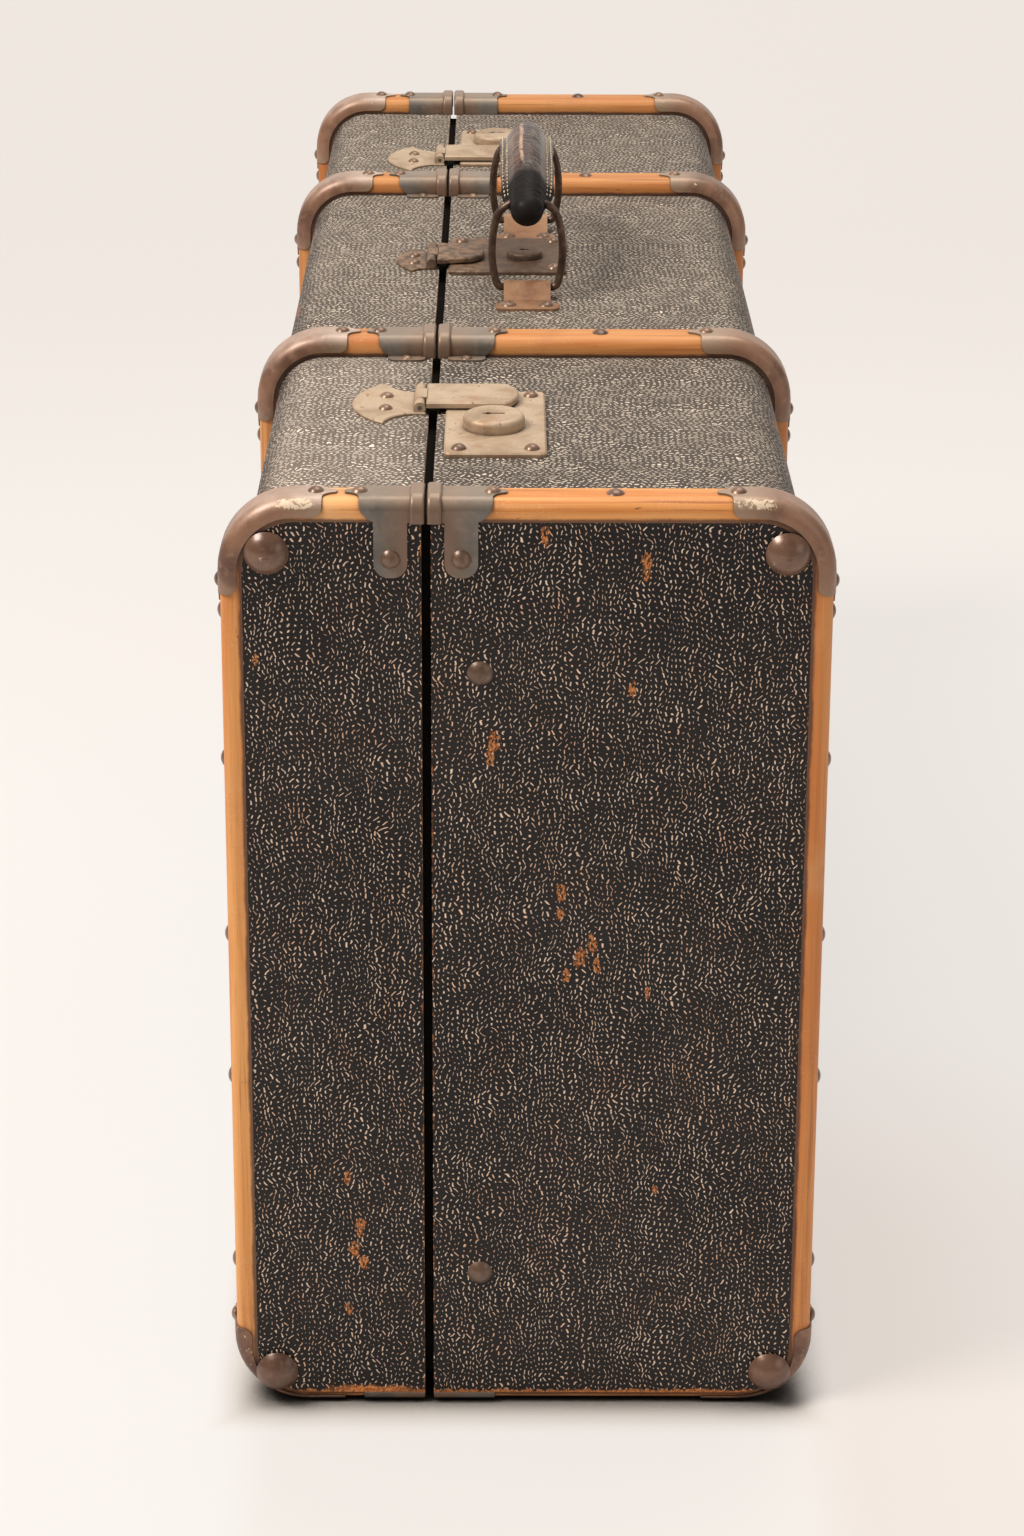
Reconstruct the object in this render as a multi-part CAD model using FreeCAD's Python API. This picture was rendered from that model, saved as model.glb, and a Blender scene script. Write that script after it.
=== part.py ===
# Travel trunk: bentwood hoops, sheet metal corners, three hasp locks and a leather handle.
# The trunk stands on its hinge side. X runs from lid to base, Y along the trunk, Z up.
# The origin is under the middle of the trunk, on the surface that it stands on. Millimetres.
import FreeCAD, Part
import math
import os

from FreeCAD import Vector

# Case
case_length = 1000.0
case_width = 315.0
case_height = 551.1
lid_depth = 101.7
seam_gap = 5.3
edge_radius = 30.0
board_thickness = 6.0
covering_thickness = 0.8
lining_thickness = 0.6
lip_thickness = 3.0
lip_reach = 8.0
lip_hold = 40.0
lip_play = 0.8

# Slats and the sheet metal on them
slat_width = 27.0
slat_thickness = 12.5
back_slat_thickness = 6.0
slat_round = 7.0
sheet = 1.2
middle_hoop_spacing = 406.0
middle_hoop_shift = 16.0
back_seam_round = 5.0

# Elbows
elbow_top_leg = 21.5
elbow_side_leg = 19.8
elbow_low_leg = 13.3
elbow_back_leg = 21.5
ear_length = 7.0
ear_tip_width = 5.0
ear_side_width = 4.5
skirt_round = 11.5
elbow_skirt_round = 5.5
elbow_skirt_lift = 3.0

# Ferrules at the seam
ferrule_reach = 43.7
back_ferrule_reach = 38.7
bead_width = 8.2
bead_rise = 2.0
bead_round = 1.8
bead_gap = 1.2
tongue_width = 18.6
tongue_drop = 32.3
tongue_round = 8.4
tongue_offset = 19.5
lip_flange_width = 24.0
lip_flange_reach = 8.5
lip_flange_round = 5.0
lip_flange_offset = 19.0

# Rivets, nails and studs
rivet_radius = 4.6
rivet_height = 2.6
ferrule_rivet_offset = 36.7
elbow_rivet_inset = 11.0
elbow_side_rivet_inset = 8.3
tongue_rivet_drop = 21.3
tongue_rivet_radius = 5.6
tongue_rivet_height = 3.2
flange_rivet_radius = 3.6
flange_rivet_height = 1.8
nail_radius = 5.2
nail_height = 2.4
side_nail_shares = [1.0, 0.795, 0.545, 0.337, 0.059]
nail_clearance = 1.6
top_nail_share = 0.57
stud_radius = 12.5
stud_height = 7.0
stud_neck_radius = 5.6
stud_inset = 14.0
stud_drop = 17.8
low_stud_inset = 11.5
low_stud_rise = 14.8
end_rivet_radius = 7.2
end_rivet_height = 3.6
end_rivet_offset = 29.8
end_rivet_drop = 89.3
end_rivet_rise = 81.4

# Back hinges
hinge_length = 60.0
hinge_leaf_width = 26.0
hinge_leaf_thickness = 1.2
hinge_barrel_radius = 3.2
hinge_pin_radius = 1.5
hinge_knuckles = 5
knuckle_gap = 0.3
pin_play = 0.05
hinge_rivet_radius = 3.2
hinge_rivet_height = 1.5
hinge_rivet_share = 0.72

# Locks
plate_thickness = 3.2
plate_round = 4.0
plate_bevel = 1.0
lock_rivet_radius = 4.7
lock_rivet_height = 3.0
lock_rivet_inset = 8.6
drum_rise = 7.7
drum_round = 3.6
drum_play = 0.1
stem_width = 8.0
stem_play = 0.3
lock_travel = 6.0
keyhole_depth = 1.4
keyhole_width = 1.7
keyhole_radius = 1.9
arm_thickness = 3.6
arm_lift = 4.3
arm_bevel = 0.9
staple_length = 6.0
staple_width = 9.0
staple_play = 1.0
hasp_barrel_radius = 3.6
hasp_pin_radius = 1.5
hasp_knuckle_share = 0.46
hasp_play = 0.3
spade_thickness = 1.8
spade_bevel = 0.6
hasp_axis_offset = 8.0
spade_rivet_radius = 4.4
spade_rivet_height = 2.6
middle_plate_length = 86.0
lock_saddle_gap = 0.5
far_lock_shift = 5.0

# Handle
saddle_width = 42.0
saddle_thickness = 1.8
saddle_reach = 33.0
saddle_tail = 11.0
saddle_round = 5.0
saddle_neck_width = 31.6
saddle_neck_reach = 11.0
saddle_flare = 8.0
saddle_rivet_spread = 12.6
saddle_rivet_radius = 5.4
saddle_rivet_height = 2.8
ring_wire_radius = 2.6
ring_play = 0.3
ring_side_play = 0.3
ring_height = 69.5
ring_low_radius = 5.0
ring_top_radius = 16.0
ring_turn = 75.0
ring_spacing = 173.0
handle_shift = 4.5
handle_offset = 58.3
grip_radius = 12.0
grip_overhang = 6.0
grip_drop = 3.6
grip_rise = 20.4
grip_flange_width = 38.0
grip_flange_thickness = 3.4
grip_flange_inset = 13.0
grip_bore_play = 0.4

# One overrun for all cuts, and the distance under which two places are one
over = 5.0
same_place = 0.01

# Places that follow from the sizes above
seam = lid_depth - case_width / 2
back = back_slat_thickness + sheet
top = back + case_height
half_length = case_length / 2
half_width = case_width / 2
half_gap = seam_gap / 2
slat_reach = half_width + slat_thickness
slat_top = top + slat_thickness
end_hoop = (case_length - slat_width) / 2
middle_hoops = [middle_hoop_shift - middle_hoop_spacing / 2, middle_hoop_shift + middle_hoop_spacing / 2]
hoops = [-end_hoop] + middle_hoops + [end_hoop]
bays = [(near + far) / 2 for near, far in zip(hoops[:-1], hoops[1:])]
corner_radius = edge_radius + slat_thickness
corner_x = slat_reach - corner_radius
corner_top = slat_top - corner_radius
corner_low = sheet + corner_radius

# The handle's own places: the eyes that the rings turn in, and the rings' tops
ring_x = seam + handle_offset
eye_z = top + ring_wire_radius + ring_play + saddle_thickness + ring_wire_radius
ring_ys = [bays[1] + handle_shift - ring_spacing / 2, bays[1] + handle_shift + ring_spacing / 2]
ring_top_z = top + ring_height - ring_wire_radius


def box(x0, x1, y0, y1, z0, z1):
    return Part.makeBox(x1 - x0, y1 - y0, z1 - z0, Vector(x0, y0, z0))


def cylinder(radius, start, end):
    along = end - start
    return Part.makeCylinder(radius, along.Length, start, along)


def fused(shapes):
    whole = shapes[0].multiFuse(shapes[1:]) if len(shapes) > 1 else shapes[0]
    return whole.removeSplitter()


def moved(shape, x, y, z):
    return shape.translated(Vector(x, y, z))


def mirrored_x(shape):
    return shape.mirror(Vector(0, 0, 0), Vector(1, 0, 0))


def mirrored_y(shape):
    return shape.mirror(Vector(0, 0, 0), Vector(0, 1, 0))


def along_y(edge):
    first = edge.Vertexes[0].Point
    last = edge.Vertexes[-1].Point
    return abs(first.y - last.y) > abs(first.x - last.x) + abs(first.z - last.z)


def rounded_block(reach, y0, y1, z0, z1, radius):
    # A block along Y whose four long edges are round
    block = box(-reach, reach, y0, y1, z0, z1)
    edges = [edge for edge in block.Edges if along_y(edge)]
    return block.makeFillet(radius, edges)


def flat(along, across, level):
    return Vector(along, across, level)


def upright(along, across, level):
    return Vector(level, across, along)


def endwise(along, across, level):
    return Vector(along, level, across)


def sideways(along, across, level):
    return Vector(level, along, across)


def outline(start, steps, level, place=flat):
    # A flat face: each step is a point, or a point on the way and the end of an arc
    here = place(start[0], start[1], level)
    edges = []
    for step in steps:
        there = place(step[-2], step[-1], level)
        if len(step) == 2:
            edges.append(Part.LineSegment(here, there).toShape())
        else:
            edges.append(Part.Arc(here, place(step[0], step[1], level), there).toShape())
        here = there
    return Part.Face(Part.Wire(edges))


def plate(start, steps, level, thickness, place=flat):
    return outline(start, steps, level, place).extrude(place(0, 0, thickness))


def round_plate(x0, x1, y0, y1, z0, z1, radius):
    # A plate whose four upright edges are round
    block = box(x0, x1, y0, y1, z0, z1)
    edges = [edge for edge in block.Edges if abs(edge.Vertexes[0].Z - edge.Vertexes[-1].Z) > abs(z1 - z0) / 2]
    return block.makeFillet(radius, edges)


def top_edges(shape, z):
    return [edge for edge in shape.Edges if all(abs(v.Z - z) < same_place for v in edge.Vertexes)]


def bevelled(shape, z, size):
    return shape.makeChamfer(size, top_edges(shape, z))


def dome(radius, height, place, facing):
    # A round rivet head: the cap of a ball, with its flat side at its place
    ball = (radius ** 2 + height ** 2) / (2 * height)
    whole = Part.makeSphere(ball, Vector(0, 0, height - ball))
    head = whole.common(box(-radius - over, radius + over, -radius - over, radius + over, 0, height + over))
    turn = FreeCAD.Rotation(Vector(0, 0, 1), facing)
    head.Placement = FreeCAD.Placement(place, turn)
    return head


UP = Vector(0, 0, 1)
DOWN = Vector(0, 0, -1)
LEFT = Vector(-1, 0, 0)
RIGHT = Vector(1, 0, 0)
NEAR = Vector(0, -1, 0)
FAR = Vector(0, 1, 0)


def case_block(inset, overrun=0):
    # The whole closed case, or its hollow when it is set in
    ends = half_length - inset + overrun
    return rounded_block(half_width - inset, -ends, ends, back + inset, top - inset, edge_radius - inset)


def beyond_seam(side, gap):
    # All that lies on one side of the seam: side 1 is the base and side -1 the lid
    wide = case_width + over
    long = half_length + slat_width + over
    edge = seam + side * gap
    return box(min(edge, edge + side * wide), max(edge, edge + side * wide), -long, long,
               -over, slat_top + bead_rise + sheet + over)


def case_half(side):
    # The wall board, the end boards, the outer skin and the lining of the base or the lid
    half = beyond_seam(side, half_gap)
    skin = covering_thickness
    inner = skin + board_thickness
    covering = case_block(0).cut(case_block(skin)).common(half)
    wall = case_block(skin).cut(case_block(inner, inner + over)).common(half)
    ends = half_length - skin
    wall = wall.common(box(-case_width, case_width, -ends, ends, 0, top))
    plug = case_block(inner, board_thickness).common(half)
    end_boards = []
    for y0, y1 in ((-ends, -ends + board_thickness), (ends - board_thickness, ends)):
        end_boards.append(plug.common(box(-case_width, case_width, y0, y1, 0, top)))
    lining = case_block(inner).cut(case_block(inner + lining_thickness)).common(half)
    return covering, wall, end_boards, lining


def lip_frame():
    # A thin frame inside the rim of the base that stands into the lid
    inset = covering_thickness + board_thickness + lining_thickness
    hold = case_block(inset).cut(case_block(inset + lip_thickness + lip_play))
    stand = case_block(inset + lip_play).cut(case_block(inset + lip_play + lip_thickness))
    rim = seam + half_gap
    tall = box(rim, rim + lip_hold, -half_length, half_length, 0, top)
    proud = box(rim - seam_gap - lip_reach, rim + lip_hold, -half_length, half_length, 0, top)
    return fused([hold.common(tall), stand.common(proud)])


# The hoop's outer form, whose growth makes the sheet metal and the beads
def hoop_slab(growth):
    reach = slat_width / 2 + growth
    slab = rounded_block(slat_reach + growth, -reach, reach, sheet - growth, slat_top + growth,
                         corner_radius + growth)
    flats = [edge for edge in slab.Edges if all(abs(abs(v.Y) - reach) < same_place for v in edge.Vertexes)]
    ends = [edge for edge in flats if abs(edge.Vertexes[0].Y - edge.Vertexes[-1].Y) < same_place]
    return slab.makeFillet(slat_round + growth, ends)


case_core = rounded_block(half_width, -slat_width, slat_width, back, top, edge_radius)
wood_slab = hoop_slab(0)
sheet_slab = hoop_slab(sheet)
wood_ring = wood_slab.cut(case_core)
sheet_ring = sheet_slab.cut(wood_slab).cut(case_core)
bead_ring = hoop_slab(sheet + bead_rise).cut(wood_slab).cut(case_core)
lifted_core = rounded_block(half_width + elbow_skirt_lift, -slat_width, slat_width, back - elbow_skirt_lift,
                            top + elbow_skirt_lift, edge_radius + elbow_skirt_lift)
elbow_ring = sheet_ring.cut(lifted_core)


def back_relief(side):
    # The rounding of a hoop's back run at the seam, which lets the lid swing on its hinge
    edge = seam + side * half_gap
    inner = edge + side * back_seam_round
    corner = box(min(edge, inner), max(edge, inner), -slat_width, slat_width, 0, back_seam_round)
    rounding = cylinder(back_seam_round, Vector(inner, -slat_width, back_seam_round),
                        Vector(inner, slat_width, back_seam_round))
    return corner.cut(rounding)


def slat_runs(side):
    # The top, side and back slats of one half of a hoop that stands at y = 0
    half = beyond_seam(side, half_gap)
    wide = slat_width
    inner = corner_x
    start = min(seam, side * inner)
    end = max(seam, side * inner)
    head = wood_ring.common(box(start, end, -wide, wide, corner_top, slat_top)).common(half)
    foot = wood_ring.common(box(start, end, -wide, wide, 0, corner_low)).common(half)
    foot = foot.cut(back_relief(side))
    outer = side * slat_reach
    low = min(side * inner, outer)
    high = max(side * inner, outer)
    run = wood_ring.common(box(low, high, -wide, wide, corner_low, corner_top))
    bends = [wood_ring.common(box(low, high, -wide, wide, corner_top, slat_top)),
             wood_ring.common(box(low, high, -wide, wide, 0, corner_low))]
    return head, run, foot, bends


def ear_block(root, end, tip, low, high, place):
    # A block whose end, seen square to its face, has one pressed ear in the middle
    reach = slat_width / 2 + sheet
    wide = reach + over
    half_ear = ear_tip_width / 2
    rise = reach - ear_side_width
    curve_share = 0.30
    mid = end + (tip - end) * curve_share
    dip = half_ear + (rise - half_ear) * curve_share
    nose = tip + (tip - end) * curve_share / 2
    steps = [(end, -wide), (end, -rise), (mid, -dip, tip, -half_ear), (nose, 0, tip, half_ear),
             (mid, dip, end, rise), (end, wide), (root, wide), (root, -wide)]
    return plate((root, -wide), steps, low, high - low, place)


def skirt_notch(end, facing, floor, radius):
    # What rounds the lower corner of a socket's skirts on the top run: the open end faces along facing
    wide = slat_width
    centre = end - facing * radius
    level = floor + radius
    outside = end + facing * (ear_length + over)
    block = box(min(centre, outside), max(centre, outside), -wide, wide, floor - over, level)
    return block.cut(cylinder(radius, Vector(centre, -wide, level), Vector(centre, wide, level)))


def side_notch(end, facing, floor, radius):
    # The same rounding on the leg that runs up or down the side
    wide = slat_width
    centre = end - facing * radius
    level = floor + radius
    outside = end + facing * (ear_length + over)
    block = box(floor - over, level, -wide, wide, min(centre, outside), max(centre, outside))
    return block.cut(cylinder(radius, Vector(level, -wide, centre), Vector(level, wide, centre)))


def elbow(corner, facing, outer, flat_leg, side_leg, eared):
    # A pressed corner on the base side, with one leg along X and one along Z
    far_side = slat_reach + sheet + over
    tip = corner_x - flat_leg
    end = tip + ear_length
    side_tip = corner - facing * side_leg
    side_end = side_tip + facing * ear_length
    beyond = outer + facing * over
    span = (min(corner, beyond), max(corner, beyond))
    leg = box(tip, far_side, -slat_width, slat_width, *span)
    if eared:
        leg = ear_block(far_side, end, tip, *span, flat)
    strip = box(tip - over, corner_x, -slat_width, slat_width, *span)
    run = ear_block(beyond, side_end, side_tip, corner_x, far_side, upright)
    body = fused([elbow_ring.common(strip).common(leg), elbow_ring.common(run)])
    if eared:
        body = body.cut(skirt_notch(end, -1, top + elbow_skirt_lift, elbow_skirt_round))
    return body.cut(side_notch(side_end, -facing, half_width + elbow_skirt_lift, elbow_skirt_round))


def top_ferrule(side):
    # The socket on a hoop's top run at the seam, with a thick rolled bead along the joint
    start = seam + side * half_gap
    tip = seam + side * ferrule_reach
    end = tip - side * ear_length
    low = top - over
    high = slat_top + sheet + over
    body = sheet_ring.common(ear_block(start, end, tip, low, high, flat))
    body = body.cut(skirt_notch(end, side, top, skirt_round))
    inner = seam + side * bead_gap / 2
    outer = inner + side * bead_width
    strip = box(min(inner, outer), max(inner, outer), -slat_width, slat_width, low, high + over)
    bead = bead_ring.common(strip)
    return fused([body, rolled(bead, inner, outer)])


def rolled(bead, inner, outer):
    # Rounds the two outer edges of a bead that stands across the hoop
    reach = slat_width / 2 + sheet + bead_rise
    crown = slat_top + sheet + bead_rise
    edges = []
    for edge in bead.Edges:
        xs = [v.X for v in edge.Vertexes]
        on_face = all(abs(x - inner) < same_place for x in xs) or all(abs(x - outer) < same_place for x in xs)
        middle = edge.valueAt((edge.FirstParameter + edge.LastParameter) / 2)
        depth = min(reach - abs(middle.y), crown - middle.z)
        if on_face and depth < sheet and middle.z > top + same_place:
            edges.append(edge)
    return bead.makeFillet(bead_round, edges)


def back_ferrule(side):
    start = seam + side * half_gap
    tip = seam + side * back_ferrule_reach
    block = box(min(start, tip), max(start, tip), -slat_width, slat_width, 0, back)
    return sheet_ring.common(block).cut(back_relief(side))


def tongue(side):
    # The strap of an end ferrule that runs down the end of the case
    middle = seam + side * tongue_offset
    reach = tongue_width / 2
    low = top - tongue_drop
    bend = low + tongue_round
    inset = tongue_round * (1 - math.cos(math.pi / 4))
    left = middle - reach
    right = middle + reach
    steps = [(left, bend), (left + inset, low + inset, left + tongue_round, low),
             (right - tongue_round, low), (right - inset, low + inset, right, bend),
             (right, top + slat_round), (left, top + slat_round)]
    return plate((left, top + slat_round), steps, -slat_width / 2 - sheet, sheet, endwise)


def flange(side, across):
    # The small foot of a middle ferrule that is riveted to the top of the case
    middle = seam + side * lip_flange_offset
    reach = lip_flange_width / 2
    root = slat_width / 2
    outer = slat_width / 2 + sheet + lip_flange_reach
    foot = round_plate(middle - reach, middle + reach, root - lip_flange_round, outer, top, top + sheet,
                       lip_flange_round)
    foot = foot.common(box(middle - reach, middle + reach, root, outer, top, top + sheet))
    return foot if across > 0 else mirrored_y(foot)


def on_hoops(shape, places):
    return [moved(shape, 0, y, 0) for y in places]


def hoop_nodes():
    nodes = {}
    for side, half in ((1, "base"), (-1, "lid")):
        head, run, foot, bends = slat_runs(side)
        nodes[half + "_top_slats"] = on_hoops(head, hoops)
        nodes[half + "_side_slats"] = on_hoops(run, hoops)
        nodes[half + "_back_slats"] = on_hoops(foot, hoops)
        nodes[half + "_corner_blocks"] = on_hoops(bends[0], hoops) + on_hoops(bends[1], hoops)
        high = elbow(corner_top, 1, slat_top + sheet, elbow_top_leg, elbow_side_leg, True)
        low = elbow(corner_low, -1, 0, elbow_back_leg, elbow_low_leg, False)
        if side < 0:
            high = mirrored_x(high)
            low = mirrored_x(low)
        nodes[half + "_top_elbows"] = on_hoops(high, hoops)
        nodes[half + "_back_elbows"] = on_hoops(low, hoops)
        socket = top_ferrule(side)
        strap = fused([socket, tongue(side)])
        footed = fused([socket, flange(side, 1), flange(side, -1)])
        far_strap = moved(mirrored_y(strap), 0, end_hoop, 0)
        nodes[half + "_end_ferrules"] = [moved(strap, 0, -end_hoop, 0), far_strap]
        nodes[half + "_middle_ferrules"] = on_hoops(footed, middle_hoops)
        nodes[half + "_back_ferrules"] = on_hoops(back_ferrule(side), hoops)
    return nodes


def hoop_rivets(side):
    # Rivets of the elbows and ferrules, nails of the slats, studs of the corners
    crown = slat_top + sheet
    flank = slat_reach + sheet
    facing = RIGHT if side > 0 else LEFT
    first_nail = corner_low + elbow_low_leg + nail_radius + nail_clearance
    last_nail = corner_top - elbow_side_leg - nail_radius - nail_clearance
    elbows = []
    ferrules = []
    nails = []
    for y in hoops:
        place = Vector(side * (corner_x - elbow_rivet_inset), y, crown)
        elbows.append(dome(rivet_radius, rivet_height, place, UP))
        for z in (corner_top - elbow_side_rivet_inset, corner_low + elbow_side_rivet_inset):
            elbows.append(dome(rivet_radius, rivet_height, Vector(side * flank, y, z), facing))
        place = Vector(seam + side * ferrule_rivet_offset, y, crown)
        ferrules.append(dome(rivet_radius, rivet_height, place, UP))
        for share in side_nail_shares:
            z = first_nail + share * (last_nail - first_nail)
            nails.append(dome(nail_radius, nail_height, Vector(side * slat_reach, y, z), facing))
        if side > 0:
            x = seam + top_nail_share * (corner_x - seam)
            nails.append(dome(nail_radius, nail_height, Vector(x, y, slat_top), UP))
    for y in middle_hoops:
        for across in (-1, 1):
            off = slat_width / 2 + sheet + lip_flange_reach / 2
            place = Vector(seam + side * lip_flange_offset, y + across * off, top + sheet)
            ferrules.append(dome(flange_rivet_radius, flange_rivet_height, place, UP))
    for across, facing_end in ((-1, NEAR), (1, FAR)):
        place = Vector(seam + side * tongue_offset, across * (half_length + sheet), top - tongue_rivet_drop)
        ferrules.append(dome(tongue_rivet_radius, tongue_rivet_height, place, facing_end))
    return elbows, ferrules, nails


def corner_studs(side):
    studs = []
    for across, facing in ((-1, NEAR), (1, FAR)):
        high_spot = (half_width - stud_inset, top - stud_drop)
        spots = (high_spot, (half_width - low_stud_inset, back + low_stud_rise))
        for x, z in spots:
            face = Vector(side * x, across * half_length, z)
            seat = Vector(side * x, across * (half_length + sheet), z)
            neck = cylinder(stud_neck_radius, face, seat)
            studs.append(fused([neck, dome(stud_radius, stud_height, seat, facing)]))
    return studs


def end_rivets():
    rivets = []
    for across, facing in ((-1, NEAR), (1, FAR)):
        for z in (top - end_rivet_drop, back + end_rivet_rise):
            place = Vector(seam + end_rivet_offset, across * half_length, z)
            rivets.append(dome(end_rivet_radius, end_rivet_height, place, facing))
    return rivets


def knuckle_row(axis_x, axis_z, radius, bore, start, end, count, taken):
    # The barrels of one leaf: every other stretch of the row, each with its bore
    step = (end - start) / count
    barrels = []
    for index in taken:
        near = start + index * step + knuckle_gap / 2
        far = near + step - knuckle_gap
        rod = cylinder(radius, Vector(axis_x, near, axis_z), Vector(axis_x, far, axis_z))
        hole = cylinder(bore, Vector(axis_x, near - over, axis_z), Vector(axis_x, far + over, axis_z))
        barrels.append((near, far, rod, hole))
    return barrels


def back_hinge(side, y):
    # One leaf of a back hinge, under the case, with its own knuckles
    low = back - hinge_leaf_thickness
    axis_z = back - hinge_barrel_radius
    start = y - hinge_length / 2
    end = y + hinge_length / 2
    edge = seam + side * half_gap
    outer = seam + side * hinge_leaf_width
    leaf = box(min(edge, outer), max(edge, outer), start, end, low, back)
    taken = range(0, hinge_knuckles, 2) if side > 0 else range(1, hinge_knuckles, 2)
    bore = hinge_pin_radius + pin_play
    parts = []
    holes = []
    for near, far, rod, hole in knuckle_row(seam, axis_z, hinge_barrel_radius, bore, start, end,
                                            hinge_knuckles, taken):
        web = box(min(seam, edge + side * hinge_barrel_radius), max(seam, edge + side * hinge_barrel_radius),
                  near, far, low, back)
        parts.append(fused([rod, web]))
        holes.append(hole)
    return fused([leaf] + parts).cut(holes[0].multiFuse(holes[1:]) if len(holes) > 1 else holes[0])


def back_hinges():
    axis_z = back - hinge_barrel_radius
    base_leaves = []
    lid_leaves = []
    pins = []
    rivets = {1: [], -1: []}
    for y in bays:
        base_leaves.append(back_hinge(1, y))
        lid_leaves.append(back_hinge(-1, y))
        near = Vector(seam, y - hinge_length / 2, axis_z)
        far = Vector(seam, y + hinge_length / 2, axis_z)
        pins.append(cylinder(hinge_pin_radius, near, far))
        for side in (1, -1):
            x = seam + side * hinge_leaf_width * hinge_rivet_share
            for across in (-1, 1):
                off = across * hinge_length / 2 * hinge_rivet_share
                place = Vector(x, y + off, back - hinge_leaf_thickness)
                rivets[side].append(dome(hinge_rivet_radius, hinge_rivet_height, place, DOWN))
    return base_leaves, lid_leaves, pins, rivets


# Each lock is described from its own middle: out from the seam, and along the trunk.
# The hand turns a lock end for end.
near_lock = {
    "y": bays[0], "hand": 1,
    "plate_start": 7.8, "plate_width": 60.0, "plate_length": 115.0,
    "drum_x": 36.8, "drum_y": -8.0, "drum_radius": 18.5, "drum_rise": drum_rise,
    "keyhole": 13.0, "slide": -1,
    "arm_y": 40.0, "arm_width": 38.0, "arm_length": 51.8, "arm_taper": 19.0, "arm_round": 8.0,
    "spade_reach": 41.7, "spade_width": 76.0, "spade_neck": 40.0, "spade_share": 0.52,
}
middle_lock = {
    "y": ring_ys[1] - saddle_reach - lock_saddle_gap - middle_plate_length / 2, "hand": 1,
    "plate_start": 4.0, "plate_width": 82.0, "plate_length": middle_plate_length,
    "drum_x": 57.0, "drum_y": -6.0, "drum_radius": 12.5, "drum_rise": 5.0,
    "keyhole": 6.0, "slide": -1,
    "arm_y": -8.0, "arm_width": 44.0, "arm_length": 28.8, "arm_taper": 12.0, "arm_round": 9.0,
    "spade_reach": 25.0, "spade_width": 56.0, "spade_neck": 44.0, "spade_share": 0.52,
}
far_lock = dict(near_lock)
far_lock.update({
    "y": bays[2] - far_lock_shift, "hand": -1, "arm_y": 32.0, "drum_y": -16.0, "plate_length": 110.0,
})
locks = {"near": near_lock, "middle": middle_lock, "far": far_lock}
hasp_axis_x = seam - hasp_axis_offset
hasp_axis_z = top + arm_lift


def lock_hand(shape, lock):
    # Puts a lock piece made about y = 0 in its place, turned end for end for the other hand
    own = shape if lock["hand"] > 0 else mirrored_y(shape)
    return moved(own, 0, lock["y"], 0)


def lock_corners(lock):
    inset = lock_rivet_inset
    xs = (seam + lock["plate_start"] + inset, seam + lock["plate_start"] + lock["plate_width"] - inset)
    ys = (-lock["plate_length"] / 2 + inset, lock["plate_length"] / 2 - inset)
    return [(x, y) for x in xs for y in ys]


def under_arm(lock, x, y):
    inside = abs(y - lock["arm_y"]) < lock["arm_width"] / 2 + lock_rivet_radius
    return inside and x < seam + lock["arm_length"] + lock_rivet_radius


def lock_plate(lock):
    start = seam + lock["plate_start"]
    reach = lock["plate_length"] / 2
    end = start + lock["plate_width"]
    body = round_plate(start, end, -reach, reach, top, top + plate_thickness, plate_round)
    body = bevelled(body, top + plate_thickness, plate_bevel)
    x = seam + lock["drum_x"]
    y = lock["drum_y"]
    half = stem_width / 2 + stem_play
    travel = lock["slide"] * lock_travel
    near = y - half + min(travel, 0)
    far = y + half + max(travel, 0)
    slot = box(x - half, x + half, near, far, top - over, top + over)
    staple = staple_place(lock)
    mouth = box(staple - staple_length / 2 - staple_play, staple + staple_length / 2 + staple_play,
                lock["arm_y"] - staple_width / 2 - staple_play, lock["arm_y"] + staple_width / 2 + staple_play,
                top - over, top + over)
    return body.cut(slot).cut(mouth)


def staple_place(lock):
    along_share = 0.72
    return seam + lock["arm_length"] * along_share


def lock_rivets(lock):
    heads = []
    for x, y in lock_corners(lock):
        if not under_arm(lock, x, y):
            heads.append(dome(lock_rivet_radius, lock_rivet_height, Vector(x, y, top + plate_thickness), UP))
    return heads


def lock_button(lock):
    # The round drum that slides along the plate to let the arm go, with its square stem
    x = seam + lock["drum_x"]
    y = lock["drum_y"]
    low = top + plate_thickness + drum_play
    crown = low + lock["drum_rise"]
    drum = cylinder(lock["drum_radius"], Vector(x, y, low), Vector(x, y, crown))
    drum = drum.makeFillet(min(drum_round, lock["drum_rise"] / 2), top_edges(drum, crown))
    half = stem_width / 2
    stem = box(x - half, x + half, y - half, y + half, top + drum_play, low)
    slit = lock["keyhole"] / 2
    wide = keyhole_width / 2
    bottom = crown - keyhole_depth
    key = box(x - slit, x + slit, y - wide, y + wide, bottom, crown + over)
    eye = cylinder(keyhole_radius, Vector(x - slit / 2, y, bottom), Vector(x - slit / 2, y, crown + over))
    return fused([drum, stem]).cut(key.fuse(eye))


def hasp_rows(lock):
    # The stretches of the hasp's barrel: the arm's in the middle, the lid plate's at its ends
    middle = lock["arm_y"]
    reach = lock["arm_width"] / 2
    inner = reach * hasp_knuckle_share
    return middle, reach, inner


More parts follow.
